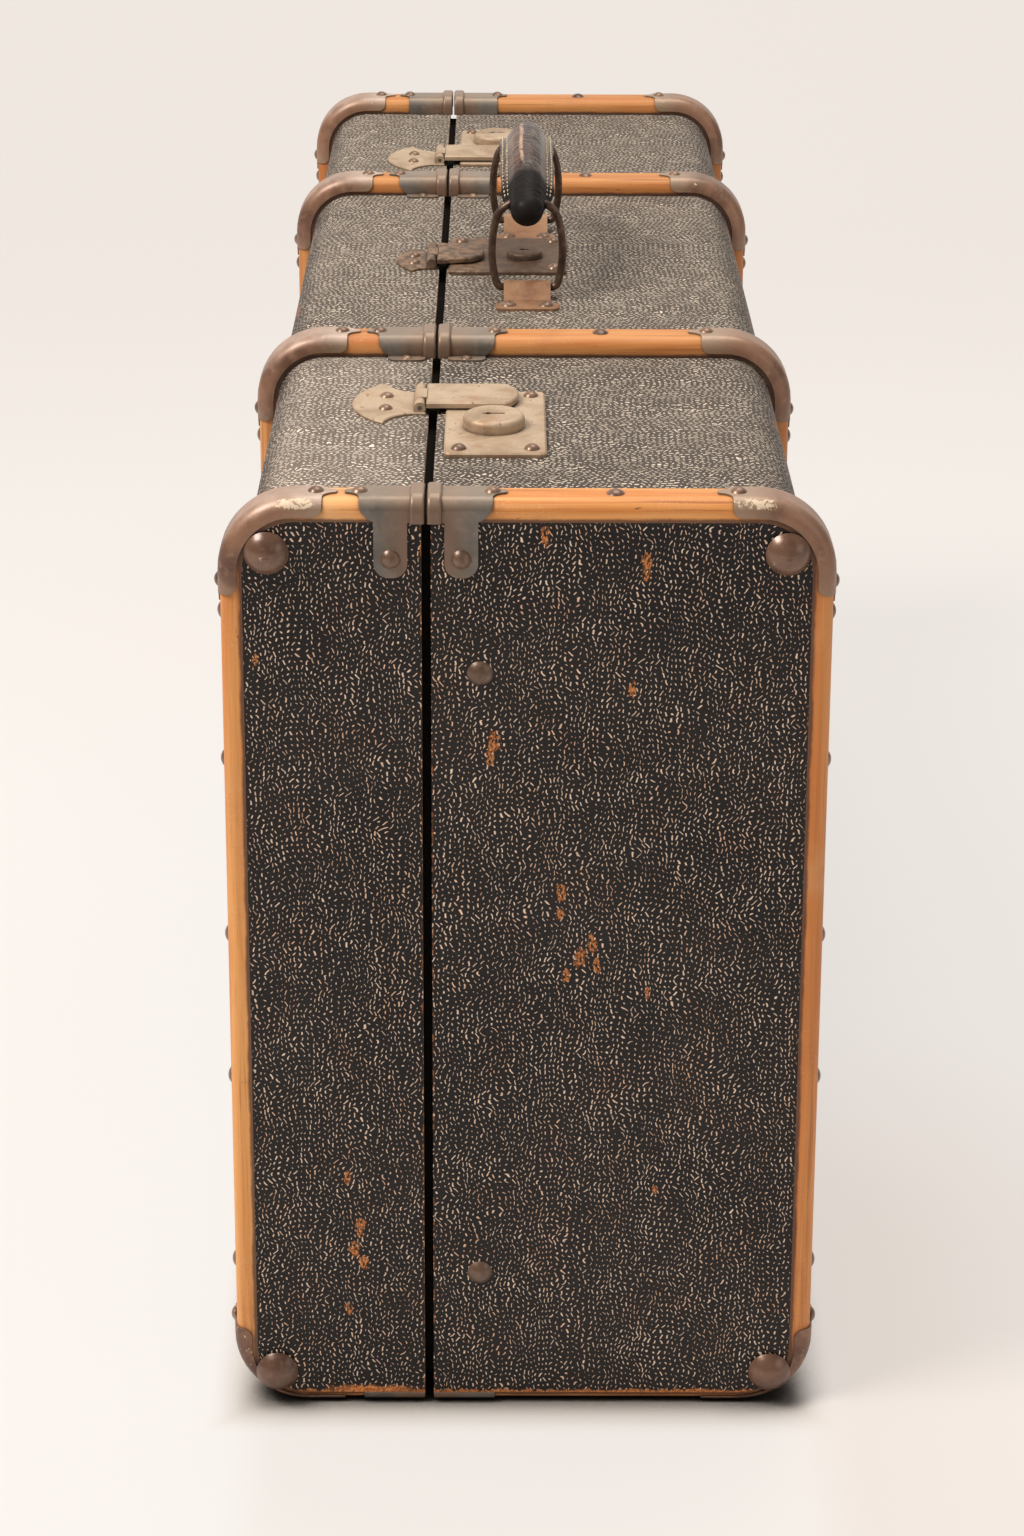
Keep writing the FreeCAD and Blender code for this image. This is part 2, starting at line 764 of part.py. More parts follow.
def hasp_arm(lock):
    # A flat arm that reaches over the seam, with a rolled knuckle and a staple below
    middle, reach, inner = hasp_rows(lock)
    root = hasp_axis_x + hasp_barrel_radius + hasp_play
    tip = seam + lock["arm_length"]
    low = top + arm_lift
    taper = lock["arm_taper"]
    bend = lock["arm_round"]
    side = reach - (reach - taper) / 2
    steps = [(tip - bend, middle - side), (tip, middle, tip - bend, middle + side), (root, middle + reach),
             (root, middle - reach)]
    slab = plate((root, middle - reach), steps, low, arm_thickness)
    slab = bevelled(slab, low + arm_thickness, arm_bevel)
    rod = cylinder(hasp_barrel_radius, Vector(hasp_axis_x, middle - inner, hasp_axis_z),
                   Vector(hasp_axis_x, middle + inner, hasp_axis_z))
    web = box(hasp_axis_x, root + hasp_play, middle - inner, middle + inner, hasp_axis_z,
              hasp_axis_z + hasp_barrel_radius)
    x = staple_place(lock)
    long = staple_length / 2
    wide = staple_width / 2
    staple = box(x - long, x + long, middle - wide, middle + wide, top + drum_play + hasp_play, low)
    hole = cylinder(hasp_pin_radius + pin_play, Vector(hasp_axis_x, middle - inner - over, hasp_axis_z),
                    Vector(hasp_axis_x, middle + inner + over, hasp_axis_z))
    return fused([slab, rod, web, staple]).cut(hole)


def hasp_plate(lock):
    # The spade-shaped plate on the lid, with a knuckle at each side of a notch for the arm's
    middle, reach, inner = hasp_rows(lock)
    edge = hasp_axis_x + hasp_barrel_radius
    neck = lock["spade_neck"] / 2
    wide = lock["spade_width"] / 2
    length = lock["spade_reach"]
    tip = hasp_axis_x - length
    cusp = hasp_axis_x - length * lock["spade_share"]
    near_neck_share = 0.35
    bow_share = 0.12
    nose_share = 0.55
    flat_x = hasp_axis_x - hasp_barrel_radius - hasp_play
    curve_x = flat_x + (cusp - flat_x) * near_neck_share
    curve_y = neck + (wide - neck) * bow_share
    nose_x = cusp + (tip - cusp) * nose_share
    nose_y = wide * (1 - nose_share ** 2)
    steps = [(edge, middle + neck), (flat_x, middle + neck), (curve_x, middle + curve_y, cusp, middle + wide),
             (nose_x, middle + nose_y, tip, middle), (nose_x, middle - nose_y, cusp, middle - wide),
             (curve_x, middle - curve_y, flat_x, middle - neck), (edge, middle - neck)]
    body = plate((edge, middle - neck), steps, top, spade_thickness)
    body = bevelled(body, top + spade_thickness, spade_bevel)
    clear = hasp_barrel_radius + hasp_play
    notch = box(hasp_axis_x - clear, edge + over, middle - inner - hasp_play, middle + inner + hasp_play,
                top - over, top + over)
    body = body.cut(notch)
    lugs = []
    gap = inner + hasp_play
    for y0, y1 in ((middle - reach, middle - gap), (middle + gap, middle + reach)):
        start = Vector(hasp_axis_x, y0, hasp_axis_z)
        rod = cylinder(hasp_barrel_radius, start, Vector(hasp_axis_x, y1, hasp_axis_z))
        foot = box(start.x - hasp_barrel_radius, start.x + hasp_barrel_radius / 2, y0, y1, top, hasp_axis_z)
        lugs += [rod, foot]
    hole = cylinder(hasp_pin_radius, Vector(hasp_axis_x, middle - reach - over, hasp_axis_z),
                    Vector(hasp_axis_x, middle + reach + over, hasp_axis_z))
    return fused([body] + lugs).cut(hole)


def hasp_pin(lock):
    middle, reach = hasp_rows(lock)[:2]
    return cylinder(hasp_pin_radius, Vector(hasp_axis_x, middle - reach, hasp_axis_z),
                    Vector(hasp_axis_x, middle + reach, hasp_axis_z))


def spade_rivets(lock):
    middle = lock["arm_y"]
    spread_share = 0.50
    across_share = 0.62
    x = hasp_axis_x - lock["spade_reach"] * spread_share
    y = lock["spade_width"] / 2 * across_share * spread_share
    seats = [Vector(x, middle + across * y, top + spade_thickness) for across in (-1, 1)]
    return [dome(spade_rivet_radius, spade_rivet_height, seat, UP) for seat in seats]


def saddle_foot(reach, neck):
    # The foot flares out from the neck in a hollow curve on each side and has round outer corners
    turn_share = 1 - math.cos(math.pi / 4)
    root = -saddle_neck_reach
    shoulder = root - saddle_flare
    bend = saddle_round * turn_share
    ear = saddle_round / 2
    flare_x = neck + (reach - ear - neck) * turn_share
    flare_y = root - saddle_flare * (1 - turn_share)
    ear_x = reach - ear * turn_share
    ear_y = shoulder - ear * turn_share
    low = -saddle_reach
    steps = [(flare_x, flare_y, reach - ear, shoulder), (ear_x, ear_y, reach, shoulder - ear),
             (reach, low + saddle_round), (reach - bend, low + bend, reach - saddle_round, low),
             (saddle_round - reach, low), (bend - reach, low + bend, -reach, low + saddle_round),
             (-reach, shoulder - ear), (-ear_x, ear_y, ear - reach, shoulder),
             (-flare_x, flare_y, -neck, root), (neck, root)]
    return plate((neck, root), steps, top, saddle_thickness)


def saddle(y):
    # A riveted foot whose strap rises to an eye for the ring and ends in a short tail
    reach = saddle_width / 2
    neck = saddle_neck_width / 2
    eye = ring_wire_radius + ring_play
    loop = eye + saddle_thickness
    low = top
    high = low + saddle_thickness
    foot = saddle_foot(reach, neck)
    tail = round_plate(-neck, neck, -saddle_neck_reach - saddle_round, saddle_tail, low, high, saddle_round)
    rise = [(-saddle_neck_reach, high), (-loop * math.cos(math.pi / 4),
            eye_z + loop * math.sin(math.pi / 4)), (loop, eye_z), (loop, low), (-saddle_neck_reach, low)]
    ramp = plate((-saddle_neck_reach, low), rise, -neck, saddle_neck_width, sideways)
    curl = cylinder(loop, Vector(-neck, 0, eye_z), Vector(neck, 0, eye_z))
    bore = cylinder(eye, Vector(-neck - over, 0, eye_z), Vector(neck + over, 0, eye_z))
    return moved(fused([foot, tail, ramp, curl]).cut(bore), ring_x, y, 0)


def saddle_rivets(y):
    seat = top + saddle_thickness
    place = y - (saddle_reach + saddle_neck_reach) / 2 - saddle_rivet_radius / 4
    seats = [Vector(ring_x + across * saddle_rivet_spread, place, seat) for across in (-1, 1)]
    return [dome(saddle_rivet_radius, saddle_rivet_height, spot, UP) for spot in seats]


def ring_sizes():
    # The ring's line: flat foot, tight low corner, long side arc, rounder shoulder and short flat top
    lean = math.radians(ring_turn)
    tall = ring_top_z - eye_z
    corners = (ring_low_radius + ring_top_radius) * (1 - math.cos(lean))
    side = (tall - corners) / (2 * math.cos(lean))
    foot = saddle_neck_width / 2 + ring_side_play
    flat_top = foot + (ring_low_radius - ring_top_radius) * math.sin(lean)
    return lean, side, foot, flat_top


def ring_half():
    # The right half of the ring's line, as straight and arc edges in the plane y = 0
    lean, side, foot, flat_top = ring_sizes()
    low = (foot, eye_z + ring_low_radius)
    waist = low[0] + (ring_low_radius - side) * math.sin(lean)
    middle = (waist, low[1] - ring_low_radius * math.cos(lean) + side * math.cos(lean))
    high = (flat_top, ring_top_z - ring_top_radius)
    arcs = [(low, ring_low_radius, -math.pi / 2, -math.pi / 2 + lean),
            (middle, side, -math.pi / 2 + lean, math.pi / 2 - lean),
            (high, ring_top_radius, math.pi / 2 - lean, math.pi / 2)]
    return foot, flat_top, arcs


def handle_ring(y):
    foot, flat_top, arcs = ring_half()
    pieces = []
    for (x, z), radius, start, end in arcs:
        spot = Vector(x + radius * math.cos(start), 0, z + radius * math.sin(start))
        along = Vector(-math.sin(start), 0, math.cos(start))
        disc = Part.Face(Part.Wire(Part.makeCircle(ring_wire_radius, spot, along)))
        pieces.append(disc.revolve(Vector(x, 0, z), Vector(0, -1, 0), math.degrees(end - start)))
    pieces += [mirrored_x(piece) for piece in pieces]
    for reach, z in ((foot, eye_z), (flat_top, ring_top_z)):
        pieces.append(cylinder(ring_wire_radius, Vector(-reach, 0, z), Vector(reach, 0, z)))
    return moved(fused(pieces), ring_x, y, 0)


def grip_sizes():
    # The arch of the grip: its ends hang over the rings and its middle stands highest
    half_span = ring_spacing / 2 + grip_overhang
    end_z = ring_top_z - grip_drop
    radius = (half_span ** 2 + grip_rise ** 2) / (2 * grip_rise)
    centre_z = end_z + grip_rise - radius
    turn = math.asin(half_span / radius)
    return half_span, end_z, radius, centre_z, turn


def grip_bore():
    flat_top = ring_sizes()[-1]
    past = max(grip_radius - flat_top, 0)
    sag = ring_top_radius - math.sqrt(ring_top_radius ** 2 - min(past, ring_top_radius) ** 2)
    return ring_wire_radius + sag + grip_bore_play


def handle_grip():
    # A round arched core with a flat stitched flange along each side, bored for the ring tops
    half_span, end_z, radius, centre_z, turn = grip_sizes()
    centre = Vector(0, 0, centre_z)
    start = Vector(0, -half_span, end_z)
    along = Vector(0, math.cos(turn), math.sin(turn))
    disc = Part.Face(Part.Wire(Part.makeCircle(grip_radius, start, along)))
    core = disc.revolve(centre, Vector(-1, 0, 0), math.degrees(2 * turn))
    caps = [Part.makeSphere(grip_radius, Vector(0, side * half_span, end_z)) for side in (-1, 1)]
    wide = grip_flange_width / 2
    far_side = Vector(wide + over, 0, 0)
    outer = cylinder(radius + grip_flange_thickness / 2, centre - far_side, centre + far_side)
    inner = cylinder(radius - grip_flange_thickness / 2, centre - 2 * far_side, centre + 2 * far_side)
    reach = half_span - grip_flange_inset
    shoulder_share = 0.28
    shoulder = reach * shoulder_share
    narrow = grip_radius / 2
    steps = [(-wide, -shoulder, -wide, 0), (-wide, shoulder, -narrow, reach), (narrow, reach),
             (wide, shoulder, wide, 0), (wide, -shoulder, narrow, -reach), (-narrow, -reach)]
    leaf = plate((-narrow, -reach), steps, end_z, grip_rise + grip_radius)
    flange = outer.cut(inner).common(leaf)
    whole = fused([core, flange] + caps)
    bore = grip_bore()
    y = ring_spacing / 2
    for side in (-1, 1):
        hole = cylinder(bore, Vector(-wide, side * y, ring_top_z), Vector(wide, side * y, ring_top_z))
        whole = whole.cut(hole)
    return moved(whole, ring_x, (ring_ys[0] + ring_ys[1]) / 2, 0)


def all_nodes():
    nodes = {}
    for side, half in ((1, "base"), (-1, "lid")):
        covering, wall, end_boards, lining = case_half(side)
        nodes[half + "_covering"] = [covering]
        nodes[half + "_wall_board"] = [wall]
        nodes[half + "_end_board_near"] = [end_boards[0]]
        nodes[half + "_end_board_far"] = [end_boards[1]]
        nodes[half + "_lining"] = [lining]
        elbows, ferrules, nails = hoop_rivets(side)
        nodes[half + "_elbow_rivets"] = elbows
        nodes[half + "_ferrule_rivets"] = ferrules
        nodes[half + "_slat_nails"] = nails
        nodes[half + "_corner_studs"] = corner_studs(side)
    nodes.update(hoop_nodes())
    nodes["lip_frame"] = [lip_frame()]
    nodes["end_face_rivets"] = end_rivets()
    base_leaves, lid_leaves, pins, hinge_rivets = back_hinges()
    nodes["base_hinge_leaves"] = base_leaves
    nodes["lid_hinge_leaves"] = lid_leaves
    nodes["hinge_pins"] = pins
    nodes["base_hinge_rivets"] = hinge_rivets[1]
    nodes["lid_hinge_rivets"] = hinge_rivets[-1]
    plate_rivets = []
    plates = []
    hasps = []
    hasp_pins = []
    hasp_rivets = []
    for name, lock in locks.items():
        plates.append(lock_hand(lock_plate(lock), lock))
        plate_rivets += [lock_hand(rivet, lock) for rivet in lock_rivets(lock)]
        hasps.append(lock_hand(hasp_plate(lock), lock))
        hasp_pins.append(lock_hand(hasp_pin(lock), lock))
        hasp_rivets += [lock_hand(rivet, lock) for rivet in spade_rivets(lock)]
        nodes["lock_button_" + name] = [lock_hand(lock_button(lock), lock)]
        nodes["hasp_arm_" + name] = [lock_hand(hasp_arm(lock), lock)]
    nodes["lock_plates"] = plates
    nodes["lock_plate_rivets"] = plate_rivets
    nodes["hasp_plates"] = hasps
    nodes["hasp_pins"] = hasp_pins
    nodes["hasp_plate_rivets"] = hasp_rivets
    nodes["handle_saddle_near"] = [saddle(ring_ys[0])]
    nodes["handle_saddle_far"] = [saddle(ring_ys[1])]
    nodes["saddle_rivets"] = saddle_rivets(ring_ys[0]) + saddle_rivets(ring_ys[1])
    nodes["handle_ring_near"] = [handle_ring(ring_ys[0])]
    nodes["handle_ring_far"] = [handle_ring(ring_ys[1])]
    nodes["handle_grip"] = [handle_grip()]
    return nodes


def main():
    os.makedirs("parts", exist_ok=True)
    for name, solids in all_nodes().items():
        shape = solids[0] if len(solids) == 1 else Part.makeCompound(solids)
        shape.exportStep("parts/" + name + ".step")
    print("lid axis", seam, back - hinge_barrel_radius)
    print("hasp axis", hasp_axis_x, hasp_axis_z)
    print("ring eyes", ring_x, ring_ys, eye_z, "ring tops", ring_top_z, "bore", grip_bore())
    print("lock places", {name: lock["y"] for name, lock in locks.items()})


main()
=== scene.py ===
"""Looks of the travel trunk: worn slats, browned metal, flecked covering and a cracked leather grip."""
import math

import bpy
import numpy as np
from mathutils import Matrix, Vector


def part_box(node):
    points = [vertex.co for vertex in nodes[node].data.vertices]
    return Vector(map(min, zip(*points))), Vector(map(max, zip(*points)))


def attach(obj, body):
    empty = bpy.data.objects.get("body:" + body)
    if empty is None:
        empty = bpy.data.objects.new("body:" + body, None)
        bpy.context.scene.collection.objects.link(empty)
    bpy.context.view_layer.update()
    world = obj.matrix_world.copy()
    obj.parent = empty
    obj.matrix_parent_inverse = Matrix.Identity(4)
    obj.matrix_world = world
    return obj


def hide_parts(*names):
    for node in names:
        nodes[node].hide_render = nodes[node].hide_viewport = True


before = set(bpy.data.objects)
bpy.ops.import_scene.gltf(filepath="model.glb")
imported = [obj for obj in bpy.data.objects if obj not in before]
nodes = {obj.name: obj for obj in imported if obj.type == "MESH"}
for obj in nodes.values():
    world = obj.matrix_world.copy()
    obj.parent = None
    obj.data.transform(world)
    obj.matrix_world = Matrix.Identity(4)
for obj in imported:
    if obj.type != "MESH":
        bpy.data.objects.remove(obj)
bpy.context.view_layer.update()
rng = np.random.default_rng(7)

# Places read from the frame, in metres
near_ring = [np.array(corner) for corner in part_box("handle_ring_near")]
far_ring = [np.array(corner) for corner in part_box("handle_ring_far")]
case_low, case_high = (np.array(corner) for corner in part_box("base_covering"))
slat_low, slat_high = (np.array(corner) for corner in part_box("base_top_slats"))
case_top = case_high[2]
case_side = case_high[0]
case_foot = case_low[2]
seam_x = (case_low[0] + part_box("lid_covering")[1][0]) / 2
HOOP_HALF = 0.0135
SECOND_HOOP, THIRD_HOOP = -0.187, 0.219
HOOPS = [slat_low[1] + HOOP_HALF, SECOND_HOOP, THIRD_HOOP, slat_high[1] - HOOP_HALF]
GRIP_MIDDLE = float((near_ring[0][1] + far_ring[1][1]) / 2)
GRIP_SIDE = float((near_ring[0][0] + near_ring[1][0]) / 2)
LOCK_MIDDLE = float((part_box("hasp_arm_middle")[0][1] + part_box("hasp_arm_middle")[1][1]) / 2)

# The noises of the finishes: waves in a metre along each axis, octaves, roughness and warp
NOISES = {
    "cloud": ((9, 5, 9), 4.0, 0.6, 0.0),
    "grit": ((620, 620, 620), 2.0, 0.65, 0.0),
    "fade": ((90, 90, 90), 3.0, 0.65, 0.0),
    "tan": ((34, 20, 34), 2.0, 0.6, 0.0),
    "rub_streak": ((90, 26, 90), 4.0, 0.7, 0.5),
    "ragged": ((260, 260, 150), 3.0, 0.7, 0.0),
    "torn": ((900, 900, 380), 3.0, 0.65, 0.6),
    "blotch": ((13, 11, 13), 3.0, 0.6, 0.0),
    "scratch": ((190, 190, 190), 2.0, 0.6, 2.6),
    "foot_wander": ((40, 40, 40), 3.0, 0.7, 0.0),
    "broad": ((20, 20, 20), 4.0, 0.6, 0.6),
    "small": ((120, 120, 120), 5.0, 0.62, 0.0),
    "pits": ((900, 900, 900), 2.0, 0.6, 0.0),
    "flake": ((240, 240, 240), 5.0, 0.72, 0.8),
    "brushed": ((1500, 160, 160), 2.0, 0.5, 0.3),
    "rust": ((70, 70, 70), 3.0, 0.6, 0.0),
    "plies": ((8, 8, 60), 3.0, 0.6, 0.0),
    "board_fibre": ((400, 30, 400), 3.0, 0.6, 0.0),
    "weave": ((1400, 1400, 500), 2.0, 0.5, 0.0),
    "cloth_wear": ((40, 40, 40), 4.0, 0.6, 0.0),
    "stain": ((9, 9, 9), 4.0, 0.6, 0.0),
    "paper_tooth": ((900, 900, 900), 3.0, 0.6, 0.0),
    "leather_grain": ((1300, 1000, 1300), 3.0, 0.6, 0.0),
    "leather_broad": ((40, 24, 40), 4.0, 0.6, 0.5),
    "leather_streak": ((330, 40, 330), 4.0, 0.65, 0.8),
    "twist": ((1600, 700, 1600), 2.0, 0.5, 0.0),
    "floor_mottle": ((1.2, 1.2, 1.2), 3.0, 0.5, 0.0),
    "floor_grain": ((300, 300, 300), 2.0, 0.5, 0.0),
}

# The slat wood's noises: waves in a metre across the grain and along it, octaves, roughness and warp
WOOD_NOISES = {
    "rings": (60.0, 2.6, 3.0, 0.6, 0.8),
    "line": (330.0, 5.0, 3.0, 0.6, 0.4),
    "fibre": (900.0, 18.0, 4.0, 0.6, 0.0),
    "nick": (260.0, 60.0, 4.0, 0.7, 1.2),
}


def linear(red, green, blue):
    """A colour given as it looks on a screen, 0 to 255, turned into light values."""
    share = np.array([red, green, blue]) / 255
    light = np.where(share <= 0.04045, share / 12.92, ((share + 0.055) / 1.055) ** 2.4)
    return (*light, 1.0)


class Value:
    """A socket of a finish's node tree that takes part in plain arithmetic."""

    def __init__(self, finish, socket):
        self.finish = finish
        self.socket = socket

    def sum(self, operation, *others):
        inputs = dict(enumerate((self,) + others))
        return self.finish.node("Math", {"operation": operation}, inputs)

    def __add__(self, other):
        return self.sum("ADD", other)

    __radd__ = __add__

    def __sub__(self, other):
        return self.sum("SUBTRACT", other)

    def __rsub__(self, other):
        return self.finish.node("Math", {"operation": "SUBTRACT"}, {0: other, 1: self})

    def __mul__(self, other):
        return self.sum("MULTIPLY", other)

    __rmul__ = __mul__

    def __truediv__(self, other):
        return self.sum("DIVIDE", other)

    def __abs__(self):
        return self.sum("ABSOLUTE")

    def most(self, other):
        return self.sum("MAXIMUM", other)

    def least(self, other):
        return self.sum("MINIMUM", other)

    def step(self, low, high):
        """0 below low, 1 above high and smooth between; low may be the higher one."""
        if low > high:
            return 1 - self.step(high, low)
        span = {1: low, 2: high, 3: 0.0, 4: 1.0}
        return self.finish.node("MapRange", {"interpolation_type": "SMOOTHSTEP"}, {0: self, **span})

    def clamp(self, low=0.0, high=1.0):
        return self.finish.node("Clamp", {}, {0: self, 1: low, 2: high})


class Finish:
    """A material whose nodes are added by expressions."""

    def __init__(self, name):
        self.material = bpy.data.materials.new(name)
        self.material.use_nodes = True
        self.tree = self.material.node_tree
        self.shader = self.tree.nodes["Principled BSDF"]
        self.object_point = self.node("TexCoord", {}, {}, "Object")
        self.object_normal = self.node("TexCoord", {}, {}, "Normal")

    def node(self, kind, settings, inputs, output=0):
        made = self.tree.nodes.new("ShaderNode" + kind)
        for key, value in settings.items():
            setattr(made, key, value)
        for key, value in inputs.items():
            self.feed(made.inputs[key], value)
        return Value(self, made.outputs[output])

    def feed(self, socket, value):
        if isinstance(value, Value):
            self.tree.links.new(value.socket, socket)
        elif value is not None:
            socket.default_value = value

    def split(self, vector):
        return [self.node("SeparateXYZ", {}, {0: vector}, axis) for axis in range(3)]

    def join(self, x, y, z):
        return self.node("CombineXYZ", {}, {0: x, 1: y, 2: z})

    def length(self, vector):
        return self.node("VectorMath", {"operation": "LENGTH"}, {0: vector}, 1)

    def mix(self, factor, first, second):
        inputs = {0: factor, 6: first, 7: second}
        return self.node("Mix", {"data_type": "RGBA", "blend_type": "MIX"}, inputs, 2)

    def layers(self, body, *rows):
        """The body with rows of colour laid over it in turn.

        A row is a field, the two values between which it comes up, its share and its colour."""
        for field, low, high, share, colour in rows:
            body = self.mix(field.step(low, high) * share, body, colour)
        return body

    def choose(self, factor, first, second):
        """A vector that goes from the first to the second with the factor."""
        return self.node("Mix", {"data_type": "VECTOR"}, {0: factor, 4: first, 5: second}, 1)

    def noise(self, vector, detail=2.0, rough=0.5, warp=0.0):
        form = {"Detail": detail, "Roughness": rough, "Distortion": warp}
        return self.node("TexNoise", {}, {"Vector": vector, "Scale": 1.0, **form})

    def field(self, name, finer=1):
        """One of the listed noises, with its waves closer by a factor."""
        waves, detail, rough, warp = NOISES[name]
        return self.noise(self.stretched(*(along_axis * finer for along_axis in waves)), detail, rough, warp)

    def chances(self, x, y, z):
        """Three even random values from 0 to 1, the same at equal places."""
        place = {"Vector": self.join(x, y, z)}
        return self.split(self.node("TexWhiteNoise", {"noise_dimensions": "3D"}, place, 1))

    def painted_corner_shade(self, reach, low=0.5, high=0.9):
        """1 deep in a corner between two pieces and 0 in the open: the mask of painted shade, from how
        little of the sky round a point is open.
        """
        open_sky = self.node("AmbientOcclusion", {"samples": 4}, {"Distance": reach}, "AO")
        return open_sky.step(high, low)

    def stretched(self, x, y, z):
        """The object's own place in metres, multiplied along each axis."""
        inputs = {0: self.object_point, 1: (x, y, z)}
        return self.node("VectorMath", {"operation": "MULTIPLY"}, inputs)

    def bump(self, height, strength, distance):
        return self.node("Bump", {}, {"Height": height, "Strength": strength, "Distance": distance})

    def surface(self, colour, rough, metal=0.0, normal=None, **fixed):
        self.feed(self.shader.inputs["Base Color"], colour)
        self.feed(self.shader.inputs["Roughness"], rough)
        self.feed(self.shader.inputs["Metallic"], metal)
        self.feed(self.shader.inputs["Normal"], normal)
        for key, value in fixed.items():
            self.shader.inputs[key.replace("_", " ")].default_value = value
        return self.material


# Colours, as they look on a screen
WOOD_PALE = linear(244, 172, 98)
WOOD_DEEP = linear(216, 134, 64)
WOOD_LINE = linear(146, 80, 38)
WOOD_EARLY = linear(250, 200, 142)
WOOD_STAIN = linear(170, 92, 42)
WOOD_BLEACHED = linear(246, 198, 146)
WOOD_SCRATCH = linear(252, 226, 194)
# Deeper warm tone painted as shade on the slats of the right side
WOOD_RIGHT_SIDE_SHADE = linear(212, 118, 48)
# Dark of the wood's nicks, and of painted shade at the slat's foot
WOOD_NICK_AND_SHADE = linear(74, 42, 28)
# Dark of painted shade in corners and along contact lines
PAINTED_SHADE = linear(34, 26, 22)

# Where the covering of the near end is scuffed through to its brown backing: x, z and size in metres
SCUFFS = [
    (0.010, 0.551, 0.0040), (0.066, 0.536, 0.0045), (0.066, 0.528, 0.0035), (0.059, 0.460, 0.0035),
    (-0.018, 0.428, 0.0055), (-0.020, 0.418, 0.0040), (0.020, 0.335, 0.0045), (0.020, 0.321, 0.0035),
    (0.031, 0.294, 0.0050), (0.038, 0.302, 0.0045), (0.041, 0.289, 0.0035), (0.023, 0.283, 0.0035),
    (-0.103, 0.151, 0.0035), (-0.096, 0.118, 0.0050), (-0.099, 0.104, 0.0045), (-0.094, 0.095, 0.0040),
    (0.070, 0.272, 0.0030), (-0.103, 0.064, 0.0035), (0.076, 0.144, 0.0025), (-0.151, 0.477, 0.0030),
]

# The unrolled covering, in millimetres
EDGE_RADIUS = 30.0
END_LAYER = 40.0
FLECK_SPACING = 2.8
FLECK_PITCH = 3.6


def mantle_point(f):
    """Place on the unrolled covering: along the bent sides, along the trunk, in millimetres.

    The arc length is the clamped place across, plus the corner radius times the angle round
    the corner, plus or minus what is left of the height. The two ends use their own flat plane."""
    x, y, z = f.split(f.stretched(1000, 1000, 1000))
    radius = EDGE_RADIUS
    flat_x = case_side * 1000 - radius
    high = case_top * 1000 - radius
    low = case_foot * 1000 + radius
    core_x = x.clamp(-flat_x, flat_x)
    core_z = z.clamp(low, high)
    turn = (x - core_x).sum("ARCTAN2", z - core_z)
    length = core_x + turn * radius + turn.sum("SIGN") * (high - core_z)
    on_end = abs(f.split(f.object_normal)[1]).step(0.5, 0.6)
    return f.choose(on_end, f.join(length, y, 0.0), f.join(z, x, END_LAYER)), on_end


def flecks(f, point, upward):
    """The cream worms of the covering: how much a place is in one and in its heart, and its chance.

    The sheet is in cells, in rows of even spacing whose pitch along the row is shifted by a chance of
    the row. Each cell holds one dash: the places nearer than its radius to a short line, whose length,
    slant, side step and radius are the cell's own chances. Before that the rows are pushed sideways by
    a wide slow noise and a narrow one, little enough not to fold, so that they swirl."""
    slow_size, slow_push, more_on_top = (24.0, 30.0), 12.0, 8.0
    quick_size, quick_push, quick_seed = (5.2, 9.0), 4.4, 5.0
    row_shift, shift_seed, size_seed = 7.0, 3.0, 9.0
    side_step, slant_reach, half_dash, dash_cut = 0.9, 1.1, 0.34, 0.12
    least_radius, chance_radius, slow_radius, top_radius = 0.27, 0.20, 0.36, 0.06
    fleck_edge, heart_edge = (-0.10, 0.10), (0.04, 0.20)
    along, across, layer = f.split(point)
    slow = f.noise(f.join(along / slow_size[0], across / slow_size[1], layer), 1.0) - 0.5
    quick_place = f.join(along / quick_size[0], across / quick_size[1], layer + quick_seed)
    quick = f.noise(quick_place, 1.0) - 0.5
    row = (across + slow * (upward * more_on_top + slow_push) + quick * quick_push) / FLECK_SPACING
    number = row.sum("FLOOR")
    pitch = f.chances(number, layer, shift_seed)[0] * row_shift + along / FLECK_PITCH
    cell = pitch.sum("FLOOR")
    length, slant, side = f.chances(number, cell, layer)
    size, bright = f.chances(cell, number, layer + size_seed)[:2]
    inside = (pitch - cell - 0.5) * FLECK_PITCH
    off = (row - number - 0.5) * FLECK_SPACING - (side - 0.5) * side_step
    off = off - inside * (slant - 0.5) * slant_reach
    beyond = (abs(inside) - length * length * half_dash * FLECK_PITCH - dash_cut).most(0.0)
    radius = size * chance_radius + least_radius + slow * slow_radius + upward * top_radius
    within = radius - f.length(f.join(beyond, off, 0.0))
    return within.step(*fleck_edge), within.step(*heart_edge), bright


